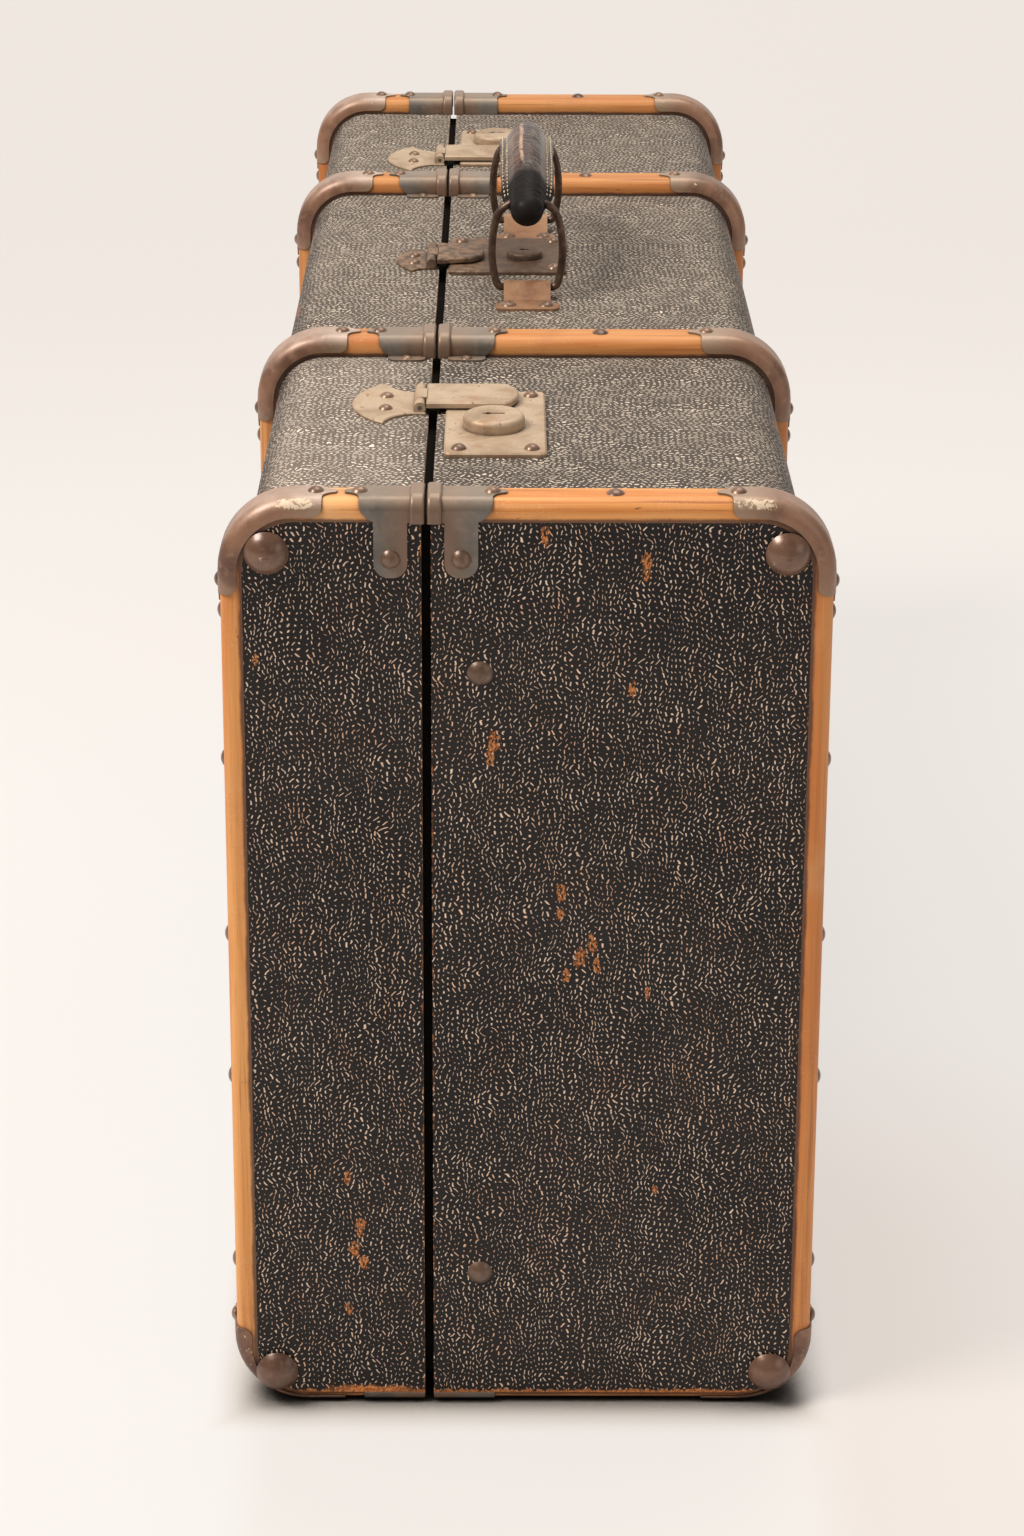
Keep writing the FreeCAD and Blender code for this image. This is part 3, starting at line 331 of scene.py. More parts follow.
def covering_finish():
    """The pressed covering, from the bottom up: black with grey specks painted as the small highlights of
    its pebbled grain, flecks, dust, painted shade along the hoops' feet and the ends' rims, rubs and scuffs.

    Dust lies on what faces up, in clouds and grains, more on the lid and towards the far end. The
    flecks show through it in a paler tone, by their own chance and a fading noise."""
    faces_up, near_end, far_end, grainy = (0.45, 0.95), (-0.26, -0.12), (-0.30, 0.0), (0.4, 0.6)
    lid_dust, near_lid_loss, lid_tone = 0.25, 0.2, 3.0
    least_dust, far_dust, cloud_dust, grain_dust, most_dust = 0.05, 0.16, 0.95, 0.7, 0.95
    least_fleck, own_fleck = 0.25, 0.4
    least_through_dust, fade_through_dust, own_through_dust = 0.34, 0.85, 0.42
    contact_shade_share = 0.75
    f = Finish("covering")
    point, on_end = mantle_point(f)
    facing = f.split(f.object_normal)[2]
    upward = facing.step(*faces_up)
    fleck, heart, bright = flecks(f, point, upward)
    x, y, z = f.split(f.object_point)
    cloud, grit, fade, tan = (f.field(name) for name in ("cloud", "grit", "fade", "tan"))
    lid_side = x.step(seam_x + 0.01, seam_x - 0.03) * (lid_dust - y.step(*near_end) * near_lid_loss)
    rim = f.mix(tan.step(0.35, 0.6), linear(150, 108, 84), linear(156, 102, 72))
    pale = f.mix(tan.step(0.46, 0.70), linear(252, 230, 208), linear(246, 206, 174))
    cream = f.mix(heart, rim, pale)
    black = f.mix(cloud.step(0.35, 0.7), linear(20, 17, 17), linear(34, 29, 27))
    # Grey specks on the black: painted highlights of the pebbled grain
    black = f.layers(black, (grit, 0.58, 0.72, 0.32, linear(82, 80, 84)))
    plain = f.mix(fleck * (fade + bright * own_fleck + least_fleck).clamp(), black, cream)
    heaped = y.step(*far_end) * far_dust + least_dust + cloud * cloud_dust + lid_side
    dust = upward * (heaped + (grit - 0.5) * grain_dust)
    dust_tone = f.mix(lid_side * lid_tone, linear(108, 98, 89), linear(138, 125, 114))
    dusty = f.mix(dust.clamp(0.0, most_dust), plain, dust_tone)
    lit = f.mix(lid_side * lid_tone, linear(228, 213, 194), linear(246, 233, 217))
    through = (fade * fade_through_dust + least_through_dust + bright * own_through_dust).clamp()
    showing = f.mix(fleck * upward * through, dusty, lit)
    # Painted shade along the hoops' feet and round the ends' rims
    showing = f.mix(covering_contact_shade(f, cloud) * contact_shade_share, showing, PAINTED_SHADE)
    rub_tone = f.mix(grit.step(*grainy), linear(112, 66, 42), linear(168, 112, 78))
    rubbed = f.mix(edge_rub(f, facing, cloud), showing, rub_tone)
    scuff_tone = f.mix(grit.step(*grainy), linear(176, 96, 44), linear(232, 154, 88))
    worn = f.mix(scuff_mask(f, x, z, on_end), rubbed, scuff_tone)
    rough = dust * 0.35 + 0.52 + fleck * 0.10
    relief = f.bump(fleck * 0.6 + grit * 0.5, 0.40, 0.0004)
    return f.surface(worn, rough, 0.0, relief, Specular_IOR_Level=0.3)


def covering_contact_shade(f, cloud):
    """Painted shade: a dark line on the covering along each hoop's two feet, and along the edges of the
    ends, where the pieces meet.
    """
    end_band, rim_line, rim_waver = (0.0004, 0.0002), (0.0026, 0.0012), 0.0012
    hoop_line, hoop_waver = (0.0044, 0.0012), 0.003
    x, y, z = f.split(f.object_point)
    from_hoop = None
    for middle in HOOPS:
        off = abs(y - middle) - HOOP_HALF
        from_hoop = off if from_hoop is None else from_hoop.least(off)
    from_rim = (case_side - abs(x)).least(case_top - z).least(z - case_foot)
    on_end = abs(y).step(*(case_high[1] - off for off in end_band))
    rim = (from_rim + cloud * rim_waver).step(*rim_line) * on_end
    return rim.most((from_hoop + cloud * hoop_waver).step(*hoop_line) * (1 - on_end))


def edge_rub(f, facing, cloud):
    """Brown rubbed streaks along the rounded long edges, on the shoulder of the bend."""
    bend_from, bend_to, streaks, share = (0.02, 0.20), (0.80, 0.45), (0.70, 0.82), 0.8
    shoulder = abs(facing).step(*bend_from) * abs(facing).step(*bend_to)
    return shoulder * (f.field("rub_streak") + cloud * 0.3).step(*streaks) * share


def scuff_mask(f, x, z, on_end):
    """Ragged torn spots at the listed places, a strip along the lid's foot and bare bits by the seam."""
    narrow, fray, spot_edge = 1.9, 3.2, (1.35, 0.95)
    strip_middle, strip_ends, strip_waver = 0.034, (0.030, 0.010), 0.010
    strip_height, line_height, line_share = (0.0052, 0.003), (0.0022, 0.0008), 0.8
    seam_waver, seam_reach = 0.006, (0.0046, 0.0030)
    ragged = f.field("ragged") - 0.5
    torn = f.field("torn").step(0.44, 0.54)
    whole = None
    for spot_x, spot_z, size in SCUFFS:
        away = f.length(f.join((x - spot_x) * narrow, 0.0, z - spot_z))
        spot = (away + ragged * size * fray).step(*(size * edge for edge in spot_edge))
        whole = spot if whole is None else whole.most(spot)
    lid_foot = abs(x - seam_x + strip_middle).step(*strip_ends)
    uneven_z = z + ragged * strip_waver
    strip = uneven_z.step(*(case_foot + height for height in strip_height)) * lid_foot
    thin_line = uneven_z.step(*(case_foot + height for height in line_height)) * line_share
    by_seam = (abs(x - seam_x) + ragged * seam_waver).step(*seam_reach) * ragged.step(0.02, 0.14)
    return (whole * torn).most(strip).most(thin_line).most(by_seam) * on_end


def wood_finish(name, along):
    """Slat wood whose grain runs along the given axis.

    Noise stretched along the grain gives its bands, its dark lines and its fibres. Painted shade sits in the
    corners and along the slat's foot beside the covering, stains and nicks are dark spots, and scratches
    cross the grain as thin pale lines. The slats are darker towards the far end, and those of the right side
    are painted in a deeper warm tone as shade, away from the key light."""
    scratch_half, foot_shade, corner_shade, corner_reach = (0.010, 0.002), 0.85, 0.75, 0.006
    f = Finish(name)
    made = {}
    for kind, (across_waves, along_waves, *rest) in WOOD_NOISES.items():
        waves = [across_waves] * 3
        waves[along] = along_waves
        made[kind] = f.noise(f.stretched(*waves), *rest)
    rings, line, fibre, nick = made.values()
    blotch, scratch = f.field("blotch"), f.field("scratch")
    x, y = f.split(f.object_point)[:2]
    nicked = nick.step(0.68, 0.73)
    scratched = abs(scratch - 0.5).step(*scratch_half) * blotch.step(0.46, 0.62)
    body = f.layers(
        f.mix(rings.step(0.36, 0.62), WOOD_DEEP, WOOD_PALE),
        (line, 0.54, 0.66, 0.55, WOOD_LINE),
        (line, 0.42, 0.30, 0.35, WOOD_EARLY),
        (fibre, 0.56, 0.74, 0.45, WOOD_LINE),
        (blotch, 0.56, 0.80, 0.65, WOOD_STAIN),
        (blotch, 0.40, 0.22, 0.5, WOOD_BLEACHED))
    body = f.mix(nicked * 0.85, body, WOOD_NICK_AND_SHADE)
    body = f.mix(scratched * 0.55, body, WOOD_SCRATCH)
    # Darker towards the far end; the right side's slats get a deeper warm tone, painted shade away from the
    # key light
    body = f.layers(body, (y, -0.42, -0.10, 0.40, WOOD_LINE), (x, 0.145, 0.160, 0.35, WOOD_RIGHT_SIDE_SHADE))
    # Painted shade along the slat's foot beside the covering and in its corners
    body = f.mix(foot_contact_shade(f) * foot_shade, body, WOOD_NICK_AND_SHADE)
    body = f.mix(f.painted_corner_shade(corner_reach) * corner_shade, body, PAINTED_SHADE)
    rough = fibre * 0.18 + 0.40 + blotch * 0.12
    relief = f.bump(line * 0.4 + fibre * 0.4 - nicked * 0.9, 0.40, 0.0006)
    return f.surface(body, rough, 0.0, relief, Coat_Weight=0.12, Coat_Roughness=0.30)


def foot_contact_shade(f):
    """1 beside the covering and 0 higher up the slat's side: where painted contact shade lies at the slat's
    foot.
    """
    uneven, fade = 0.0030, (0.0014, -0.0004)
    x, z = f.split(f.object_point)[::2]
    height = (z - case_top).most(abs(x) - case_side).most(case_foot - z)
    return (height - f.field("foot_wander") * uneven).step(*fade)


def patina(name, tones, rough, metal, scale=1.0, flaky=0.0, tint=None, coat=0.0):
    """Old sheet metal: clouds of the dark and middle tones, with rubbed pale spots, pits and scratches.

    The tint gives the piece its own tones in places, and says where its fourth tone, the plating,
    is left in flakes. Painted shade darkens the corners where pieces meet."""
    least_flake, most_flake, flakiness, place_pull = 0.86, 0.90, 0.2, 0.30
    scratch_share, flake_share, corner_shade_share = 0.25, 0.9, 0.65
    corner_shade_reach, corner_shade_low, corner_shade_high = 0.005, 0.35, 0.85
    f = Finish(name)
    dark, middle, pale, plating = tones
    broad, small, flake = (f.field(kind, scale) for kind in ("broad", "small", "flake"))
    pits, brushed = f.field("pits"), f.field("brushed")
    body = f.layers(
        f.mix(broad.step(0.32, 0.62), dark, middle),
        (small, 0.50, 0.80, 0.5, pale),
        (small, 0.42, 0.26, 0.35, dark),
        (pits, 0.60, 0.74, 0.25, dark))
    place = broad.step(0.45, 0.7)
    if tint:
        body, place = tint(f, body, small)
    scratch = brushed.step(0.70, 0.78)
    body = f.mix(scratch * scratch_share, body, pale)
    loose = flaky * flakiness
    flaked = (flake + place * place_pull).step(least_flake - loose, most_flake - loose)
    flaked = flaked * place.step(0.02, 0.2)
    body = f.mix(flaked * flake_share, body, plating)
    # Painted shade in the corners where pieces meet
    body = f.mix(f.painted_corner_shade(corner_shade_reach, corner_shade_low, corner_shade_high) * corner_shade_share, body, PAINTED_SHADE)
    rough_map = small * 0.24 + rough - broad * 0.12 + flaked * 0.2
    relief = f.bump(small * 0.5 + pits * 0.2 + flaked * 0.5 - scratch * 0.2, 0.34, 0.0006)
    fixed = {"Specular_IOR_Level": 0.5, "Coat_Weight": coat, "Coat_Roughness": 0.2}
    return f.surface(body, rough_map, metal, relief, **fixed)


def elbow_wear(f, body, small):
    """The elbows stay brown round their corners and go pale and dusty along the legs of the top. On the left
    ones what faces up is dustier and paler, partly dust and partly painted light from the key lamp.

    The plating is left in a ragged patch on the near side of each leg, and in chips by the bends."""
    wander, upper_half = 0.03, (0.4, 0.41)
    leg_end, foot_top, foot_share, worn_share = (0.140, 0.112), (0.530, 0.510), 0.7, 0.72
    least_dust, leg_dust, left_dust_and_light = 0.30, 0.45, 0.25
    patch_place, patch_half, patch_end = 0.127, (0.020, 0.006), (0.134, 0.142)
    patch_height, patch_half_height = 0.0125, (0.0075, 0.003)
    first_hoop_end, further_loss, faces_near = (-0.42, -0.40), 0.55, (-0.15, -0.6)
    chip_place, chip_half, chip_height, chip_fade = 0.150, (0.012, 0.002), 0.527, (0.035, -0.01)
    chip_share = 0.45
    low_elbow_face, low_chip_half, low_chip_share = 0.497, (0.012, 0.004), 0.42
    x, y, z = f.split(f.object_point)
    facing = f.split(f.object_normal)
    upper = z.step(*upper_half)
    leg = (abs(x) + (small - 0.5) * wander).step(*leg_end) * upper
    foot = (z + (small - 0.5) * wander).step(*foot_top) * upper * foot_share
    paler = f.mix(leg.most(foot) * worn_share, body, linear(168, 146, 122))
    # The left elbows get more and paler dust on what faces up: partly dust, partly painted light from the
    # key lamp
    left = x.step(0.05, -0.05)
    dust_and_light_share = leg * leg_dust + least_dust + left * left_dust_and_light
    dust = facing[2].step(0.20, 0.95) * dust_and_light_share * (small.step(0.25, 0.7) * 0.6 + 0.4)
    dusty = f.mix(dust, paler, f.mix(left, linear(178, 154, 134), linear(206, 183, 168)))
    seen_leg = abs(abs(x) - patch_place).step(*patch_half) * facing[1].step(*faces_near) * upper
    patch = seen_leg * abs(z - case_top - patch_height).step(*patch_half_height)
    patch = patch * (1 - y.step(*first_hoop_end) * further_loss) * (1 - x.step(*patch_end))
    chips = abs(abs(x) - chip_place).step(*chip_half) * (z - chip_height).step(*chip_fade)
    chips = chips * upper * chip_share
    low_chips = (1 - upper) * abs(y + low_elbow_face).step(*low_chip_half) * low_chip_share
    return dusty, patch.most(chips).most(low_chips)


def bead_rust(f, body, small):
    """The straps at the seam are rusty brown along their rolled edges and on top."""
    rolled_edge, rust_reach, rust_spots, rust_share = (0.020, 0.012), (0.040, 0.016), (0.55, 0.95), 0.25
    from_seam = abs(f.split(f.object_point)[0] - seam_x)
    body = f.layers(body, (from_seam, *rolled_edge, 0.8, linear(122, 98, 84)))
    spots = (from_seam.step(*rust_reach) + small - 0.5).step(*rust_spots)
    body = f.mix(spots * rust_share, body, linear(150, 112, 80))
    dust = f.split(f.object_normal)[2].step(0.2, 0.9) * (small * 0.5 + 0.25)
    return f.mix(dust, body, linear(166, 146, 126)), small.step(0.6, 0.8) * 0.3


def lock_tint(f, body, small):
    """The middle lock, under the handle, is browner and darker than the outer two, partly its own tone and
    partly painted shade of the handle; the outer two have rust in patches and painted shade on their faces
    that don't face up.
    """
    middle_reach, seam_side, bare_share = (0.075, 0.055), (0.0, -0.06), 0.5
    x, y = f.split(f.object_point)[:2]
    # The middle lock's darker brown is partly its own tone and partly painted shade of the handle above it
    middle = abs(y - LOCK_MIDDLE).step(*middle_reach)
    by_seam = x.step(*seam_side)
    brown = f.mix(small.step(0.3, 0.7), linear(58, 40, 30), linear(102, 73, 54))
    brown = f.mix(by_seam * bare_share * small.step(0.4, 0.6), brown, linear(176, 142, 112))
    facing_up = f.split(f.object_normal)[2]
    # The outer locks: rust in patches, and painted shade on faces that don't face up
    outer = f.layers(
        body,
        (f.field("rust"), 0.54, 0.72, 0.45, linear(178, 128, 90)),
        (facing_up, 0.75, 0.30, 0.08, linear(112, 88, 66)))
    return f.mix(middle * 0.9, outer, brown), small.step(0.45, 0.7) * (1 - middle * 0.8)


# Each metal's dark, middle and pale tone and its plating
METAL_TONES = {
    "elbow_metal": ((98, 66, 52), (154, 114, 90), (188, 152, 126), (236, 214, 186)),
    "ferrule_metal": ((94, 88, 82), (126, 118, 109), (158, 148, 136), (182, 152, 122)),
    "lock_metal": ((166, 140, 114), (200, 177, 150), (220, 201, 176), (150, 112, 82)),
    "saddle_metal": ((138, 98, 70), (178, 136, 104), (200, 164, 132), (206, 178, 150)),
    "rivet_metal": ((84, 56, 43), (124, 90, 70), (158, 124, 100), (196, 174, 154)),
    "small_rivet_metal": ((98, 74, 58), (138, 108, 86), (176, 146, 120), (206, 184, 158)),
    "ring_steel": ((62, 46, 38), (96, 74, 60), (150, 124, 102), (176, 152, 128)),
    "hinge_steel": ((84, 78, 72), (116, 110, 102), (150, 144, 134), (160, 150, 138)),
}
# How each metal is worn
METAL_WEAR = {
    "elbow_metal": {"rough": 0.38, "metal": 0.25, "flaky": 0.55, "tint": elbow_wear, "coat": 0.10},
    "ferrule_metal": {"rough": 0.36, "metal": 0.3, "flaky": 0.2, "tint": bead_rust, "coat": 0.08},
    "lock_metal": {"rough": 0.46, "metal": 0.3, "scale": 1.4, "flaky": 0.2, "tint": lock_tint},
    "saddle_metal": {"rough": 0.44, "metal": 0.3, "scale": 1.3},
    "rivet_metal": {"rough": 0.26, "metal": 0.25, "scale": 1.6, "coat": 0.35},
    "small_rivet_metal": {"rough": 0.30, "metal": 0.3, "scale": 1.6, "coat": 0.3},
    "ring_steel": {"rough": 0.30, "metal": 0.5, "scale": 1.8, "flaky": 0.2},
    "hinge_steel": {"rough": 0.36, "metal": 0.5, "scale": 1.2, "flaky": 0.1},
}


def plain_board_finish():
    """Bare plywood, with its plies as slow bands up the board and fibres along it."""
    f = Finish("plywood")
    plies, fibre = f.field("plies"), f.field("board_fibre")
    body = f.mix(plies.step(0.35, 0.65), linear(150, 112, 74), linear(188, 150, 104))
    body = f.layers(body, (fibre, 0.55, 0.75, 0.5, linear(112, 80, 50)))
    return f.surface(body, fibre * 0.2 + 0.6, 0.0, f.bump(fibre, 0.3, 0.0004))


def dark_cloth_finish():
    """Black bookcloth glued over the lip inside the rim."""
    f = Finish("lip_cloth")
    weave, worn = f.field("weave"), f.field("cloth_wear")
    body = f.mix(weave.step(0.4, 0.7), linear(12, 11, 11), linear(26, 23, 22))
    body = f.layers(body, (worn, 0.62, 0.8, 0.5, linear(54, 46, 40)))
    relief = f.bump(weave, 0.3, 0.0002)
    return f.surface(body, weave * 0.1 + 0.85, 0.0, relief, Specular_IOR_Level=0.15)


def lining_finish():
    """Cream paper with darker stripes across the trunk and old brown stains."""
    stripe_half, stripe_edge = 0.011, (0.0040, 0.0052)
    f = Finish("lining")
    stain, tooth = f.field("stain"), f.field("paper_tooth")
    along = f.split(f.object_point)[1]
    stripe = f.node("Math", {"operation": "PINGPONG"}, {0: along, 1: stripe_half}).step(*stripe_edge)
    body = f.mix(stain.step(0.3, 0.7), linear(196, 174, 138), linear(216, 198, 166))
    body = f.mix(stripe * 0.35, body, linear(150, 128, 100))
    body = f.layers(body, (stain, 0.62, 0.75, 0.4, linear(160, 124, 84)))
    return f.surface(body, tooth * 0.1 + 0.75, 0.0, f.bump(tooth, 0.25, 0.0003))


def leather_finish():
    """Dark handled leather with a long worn ridge left of its crest.

    Slanting creases lie right of the crest, darkened with painted shade, the lips are worn pale and the two
    noses are nearly black."""
    ridge_place, ridge_half = 0.0035, (0.0017, 0.0005)
    beside_place, beside_half = 0.0085, (0.0050, 0.0015)
    ridge_middle, ridge_ends = 0.012, (0.062, 0.030)
    slow_wander, quick_wander, nose_waver = 0.007, 0.0016, 0.006
    crease_side, pale_side = (-0.002, 0.002), (-0.004, 0.004)
    lip_place, nose_start = (0.0118, 0.0135), (0.060, 0.072)
    nose_coat_loss, coat = 0.48, 0.55
    f = Finish("leather")
    x, y, z = f.split(f.object_point)
    across = x - GRIP_SIDE
    along = y - GRIP_MIDDLE
    grain, broad, streak = (f.field("leather_" + kind) for kind in ("grain", "broad", "streak"))
    slant_place = f.join(across * 520 + along * 260, along * 46 - across * 60, z * 300)
    slant = f.noise(slant_place, 3.0, 0.6, 0.5)
    body = f.mix(broad.step(0.34, 0.66), linear(40, 28, 25), linear(76, 58, 50))
    body = f.layers(body, (streak, 0.52, 0.74, 0.55, linear(124, 98, 82)))
    wander = (broad - 0.5) * slow_wander + (grain - 0.5) * quick_wander
    ridge_span = abs(along + ridge_middle).step(*ridge_ends)
    beside = abs(across + beside_place + wander).step(*beside_half) * ridge_span
    body = f.mix(beside * streak.step(0.34, 0.60) * 0.8, body, linear(112, 72, 48))
    ridge = abs(across + ridge_place + wander).step(*ridge_half) * ridge_span
    body = f.mix(ridge * streak.step(0.36, 0.52) * 0.9, body, linear(196, 160, 132))
    # Painted shade darkens the slanting creases
    crease_and_shade = slant.step(0.40, 0.34) * across.step(*crease_side)
    body = f.mix(crease_and_shade * 0.7, body, linear(18, 13, 13))
    between = slant.step(0.56, 0.66) * across.step(*pale_side)
    body = f.mix(between * 0.45, body, linear(142, 120, 108))
    rubbed = streak.step(0.44, 0.60) * abs(across).step(*lip_place)
    body = f.mix(rubbed * 0.65, body, linear(150, 126, 108))
    nose = (abs(along) + (grain - 0.5) * nose_waver).step(*nose_start)
    body = f.mix(nose * 0.96, body, linear(15, 9, 7))
    rough = nose * 0.28 + 0.32 + grain * 0.16 + crease_and_shade * 0.2 + rubbed * 0.16
    relief = f.bump(grain * 0.25 + streak * 0.4 - crease_and_shade * 0.6 + ridge * 0.5, 0.5, 0.0008)
    f.feed(f.shader.inputs["Coat Weight"], coat - nose * nose_coat_loss)
    return f.surface(body, rough, 0.0, relief, Coat_Roughness=0.28, Specular_IOR_Level=0.2)


def thread_finish():
    """Waxed thread, twisted along its length."""
    f = Finish("thread")
    twist = f.field("twist")
    body = f.mix(twist.step(0.35, 0.65), linear(150, 132, 104), linear(232, 218, 190))
    return f.surface(body, twist * 0.1 + 0.75, 0.0, f.bump(twist, 0.5, 0.0002))


def paint(material, *names):
    """Gives the named CAD nodes one finish; a name that starts with _ stands for both halves' node."""
    for name in names:
        for whole in ("base" + name, "lid" + name) if name.startswith("_") else (name,):
            slots = nodes[whole].data.materials
            if not slots:
                slots.append(material)
            for index in range(len(slots)):
                slots[index] = material


def paint_nodes():
    """Every finish is made once, and every CAD node gets its own."""
    metal = {}
    for name, tones in METAL_TONES.items():
        metal[name] = patina(name, [linear(*tone) for tone in tones], **METAL_WEAR[name])
    paint(covering_finish(), "_covering")
    paint(plain_board_finish(), "_wall_board", "_end_board_near", "_end_board_far")
    paint(dark_cloth_finish(), "lip_frame")
    paint(lining_finish(), "_lining")
    paint(wood_finish("slat_wood_across", 0), "_top_slats", "_back_slats")
    paint(wood_finish("slat_wood_upright", 2), "_side_slats", "_corner_blocks")
    paint(metal["elbow_metal"], "_top_elbows", "_back_elbows")
    paint(metal["ferrule_metal"], "_end_ferrules", "_middle_ferrules", "_back_ferrules")
    paint(metal["rivet_metal"], "_slat_nails", "_corner_studs", "_hinge_rivets")
    paint(metal["small_rivet_metal"], "_elbow_rivets", "_ferrule_rivets", "saddle_rivets",
          "end_face_rivets", "lock_plate_rivets", "hasp_plate_rivets")
    paint(metal["hinge_steel"], "_hinge_leaves", "hinge_pins", "hasp_pins")
    paint(metal["lock_metal"], "lock_plates", "hasp_plates")
    for place in ("near", "middle", "far"):
        paint(metal["lock_metal"], "hasp_arm_" + place, "lock_button_" + place)
    paint(metal["saddle_metal"], "handle_saddle_near", "handle_saddle_far")
    paint(metal["ring_steel"], "handle_ring_near", "handle_ring_far")


def linked(name, data):
    """An object of the scene with the given data."""
    made = bpy.data.objects.new(name, data)
    bpy.context.collection.objects.link(made)
    return made


def sheet_mesh(name, points, faces, material):
    """A smooth mesh from points in metres and faces, with one material."""
    data = bpy.data.meshes.new(name)
    data.from_pydata(points.tolist(), [], faces)
    data.polygons.foreach_set("use_smooth", np.full(len(data.polygons), True))
    data.materials.append(material)
    return data


def mesh_piece(name, points, faces, material, body, slot=None):
    """A piece from points in metres and faces, which rides on a CAD body."""
    data = sheet_mesh(name, points, faces, material)
    data.validate()
    made = linked(name, data)
    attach(made, body)
    return made


def grid_faces(rows, columns, around=True, start=0):
    """The four-sided faces of a grid of rows by columns, closed round its columns when it is a tube."""
    row = np.arange(rows - 1)[:, None]
    column = np.arange(columns if around else columns - 1)[None, :]
    after = (column + 1) % columns
    first = row * columns + column
    second = row * columns + after
    faces = np.stack([first, second, second + columns, first + columns], -1).reshape(-1, 4) + start
    return faces.tolist()


def tube(rings, start=0):
    """Points and faces of a closed tube given as rings of points, with its two ends capped."""
    rows, columns = rings.shape[:2]
    points = rings.reshape(-1, 3)
    ends = np.array([rings[0].mean(0), rings[-1].mean(0)])
    faces = grid_faces(rows, columns, True, start)
    first = len(points) + start
    last = first + 1
    base = (rows - 1) * columns + start
    turn = [(index, (index + 1) % columns) for index in range(columns)]
    faces += [[first, start + after, start + here] for here, after in turn]
    faces += [[last, base + here, base + after] for here, after in turn]
    return np.vstack([points, ends]), faces


# Sizes of the grip in metres, as the solid part has them
GRIP = {
    "overhang": 0.006, "wire": 0.0026, "drop": 0.0036, "rise": 0.0204,
    "core": 0.012, "flange": 0.019, "leaf": 0.0034,
}
GRIP_BASE = GRIP["core"] * 0.955
HALF_LEAF = GRIP["leaf"] * 0.47
SIDE = np.array([1.0, 0.0, 0.0])
# Shares of the half length of the grip: where its lips end, and over how much they fade
LIP_END, LIP_FADE = 0.97, 0.42


def grip_line(count):
    """The line of the grip's middle: an arc of a circle over the two rings, as points and slopes.

    The angle runs evenly from one end to the other; a point is the circle's centre plus its radius
    times the sine along the trunk and the cosine upwards."""
    half_span = (far_ring[0][1] - near_ring[0][1]) / 2 + GRIP["overhang"]
    middle = (near_ring[0] + near_ring[1] + far_ring[0] + far_ring[1]) / 4
    end_z = near_ring[1][2] - GRIP["wire"] - GRIP["drop"]
    radius = (half_span ** 2 + GRIP["rise"] ** 2) / (2 * GRIP["rise"])
    centre_z = end_z + GRIP["rise"] - radius
    turn = math.asin(half_span / radius)
    angle = np.linspace(-turn, turn, count)
    sine, cosine, none = np.sin(angle), np.cos(angle), np.zeros(count)
    points = np.stack([none + middle[0], middle[1] + radius * sine, centre_z + radius * cosine], -1)
    along = np.stack([none, cosine, -sine], -1)
    above = np.stack([none, sine, cosine], -1)
    return points, along, above


def lip_reach(share):
    """How far the lip stands out at a share of the grip's half length.

    It is the lip's full width times the root of a share that falls to nothing at the lip's ends,
    times two less that share: a quarter of a circle at each end."""
    fade = np.clip((LIP_END - np.abs(share)) / LIP_FADE, 0, 1)
    return (GRIP["flange"] - GRIP["core"]) * np.sqrt(fade * (2 - fade))


def wave(along, around, seed, count, fine=1.0):
    """Sum of a few sine waves of seeded slope and phase over two parameters, scaled to about one."""
    draw = np.random.default_rng(seed)
    least_slope, most_slope, whole_turn = 0.5, 2.5, 6.3
    total = np.zeros(np.broadcast(along, around).shape)
    for _ in range(count):
        first, second = draw.uniform(least_slope, most_slope, 2) * fine
        around_wave = second * np.cos(around + draw.uniform(0, whole_turn))
        total += np.sin(first * along + around_wave + draw.uniform(0, whole_turn))
    return total / math.sqrt(count)


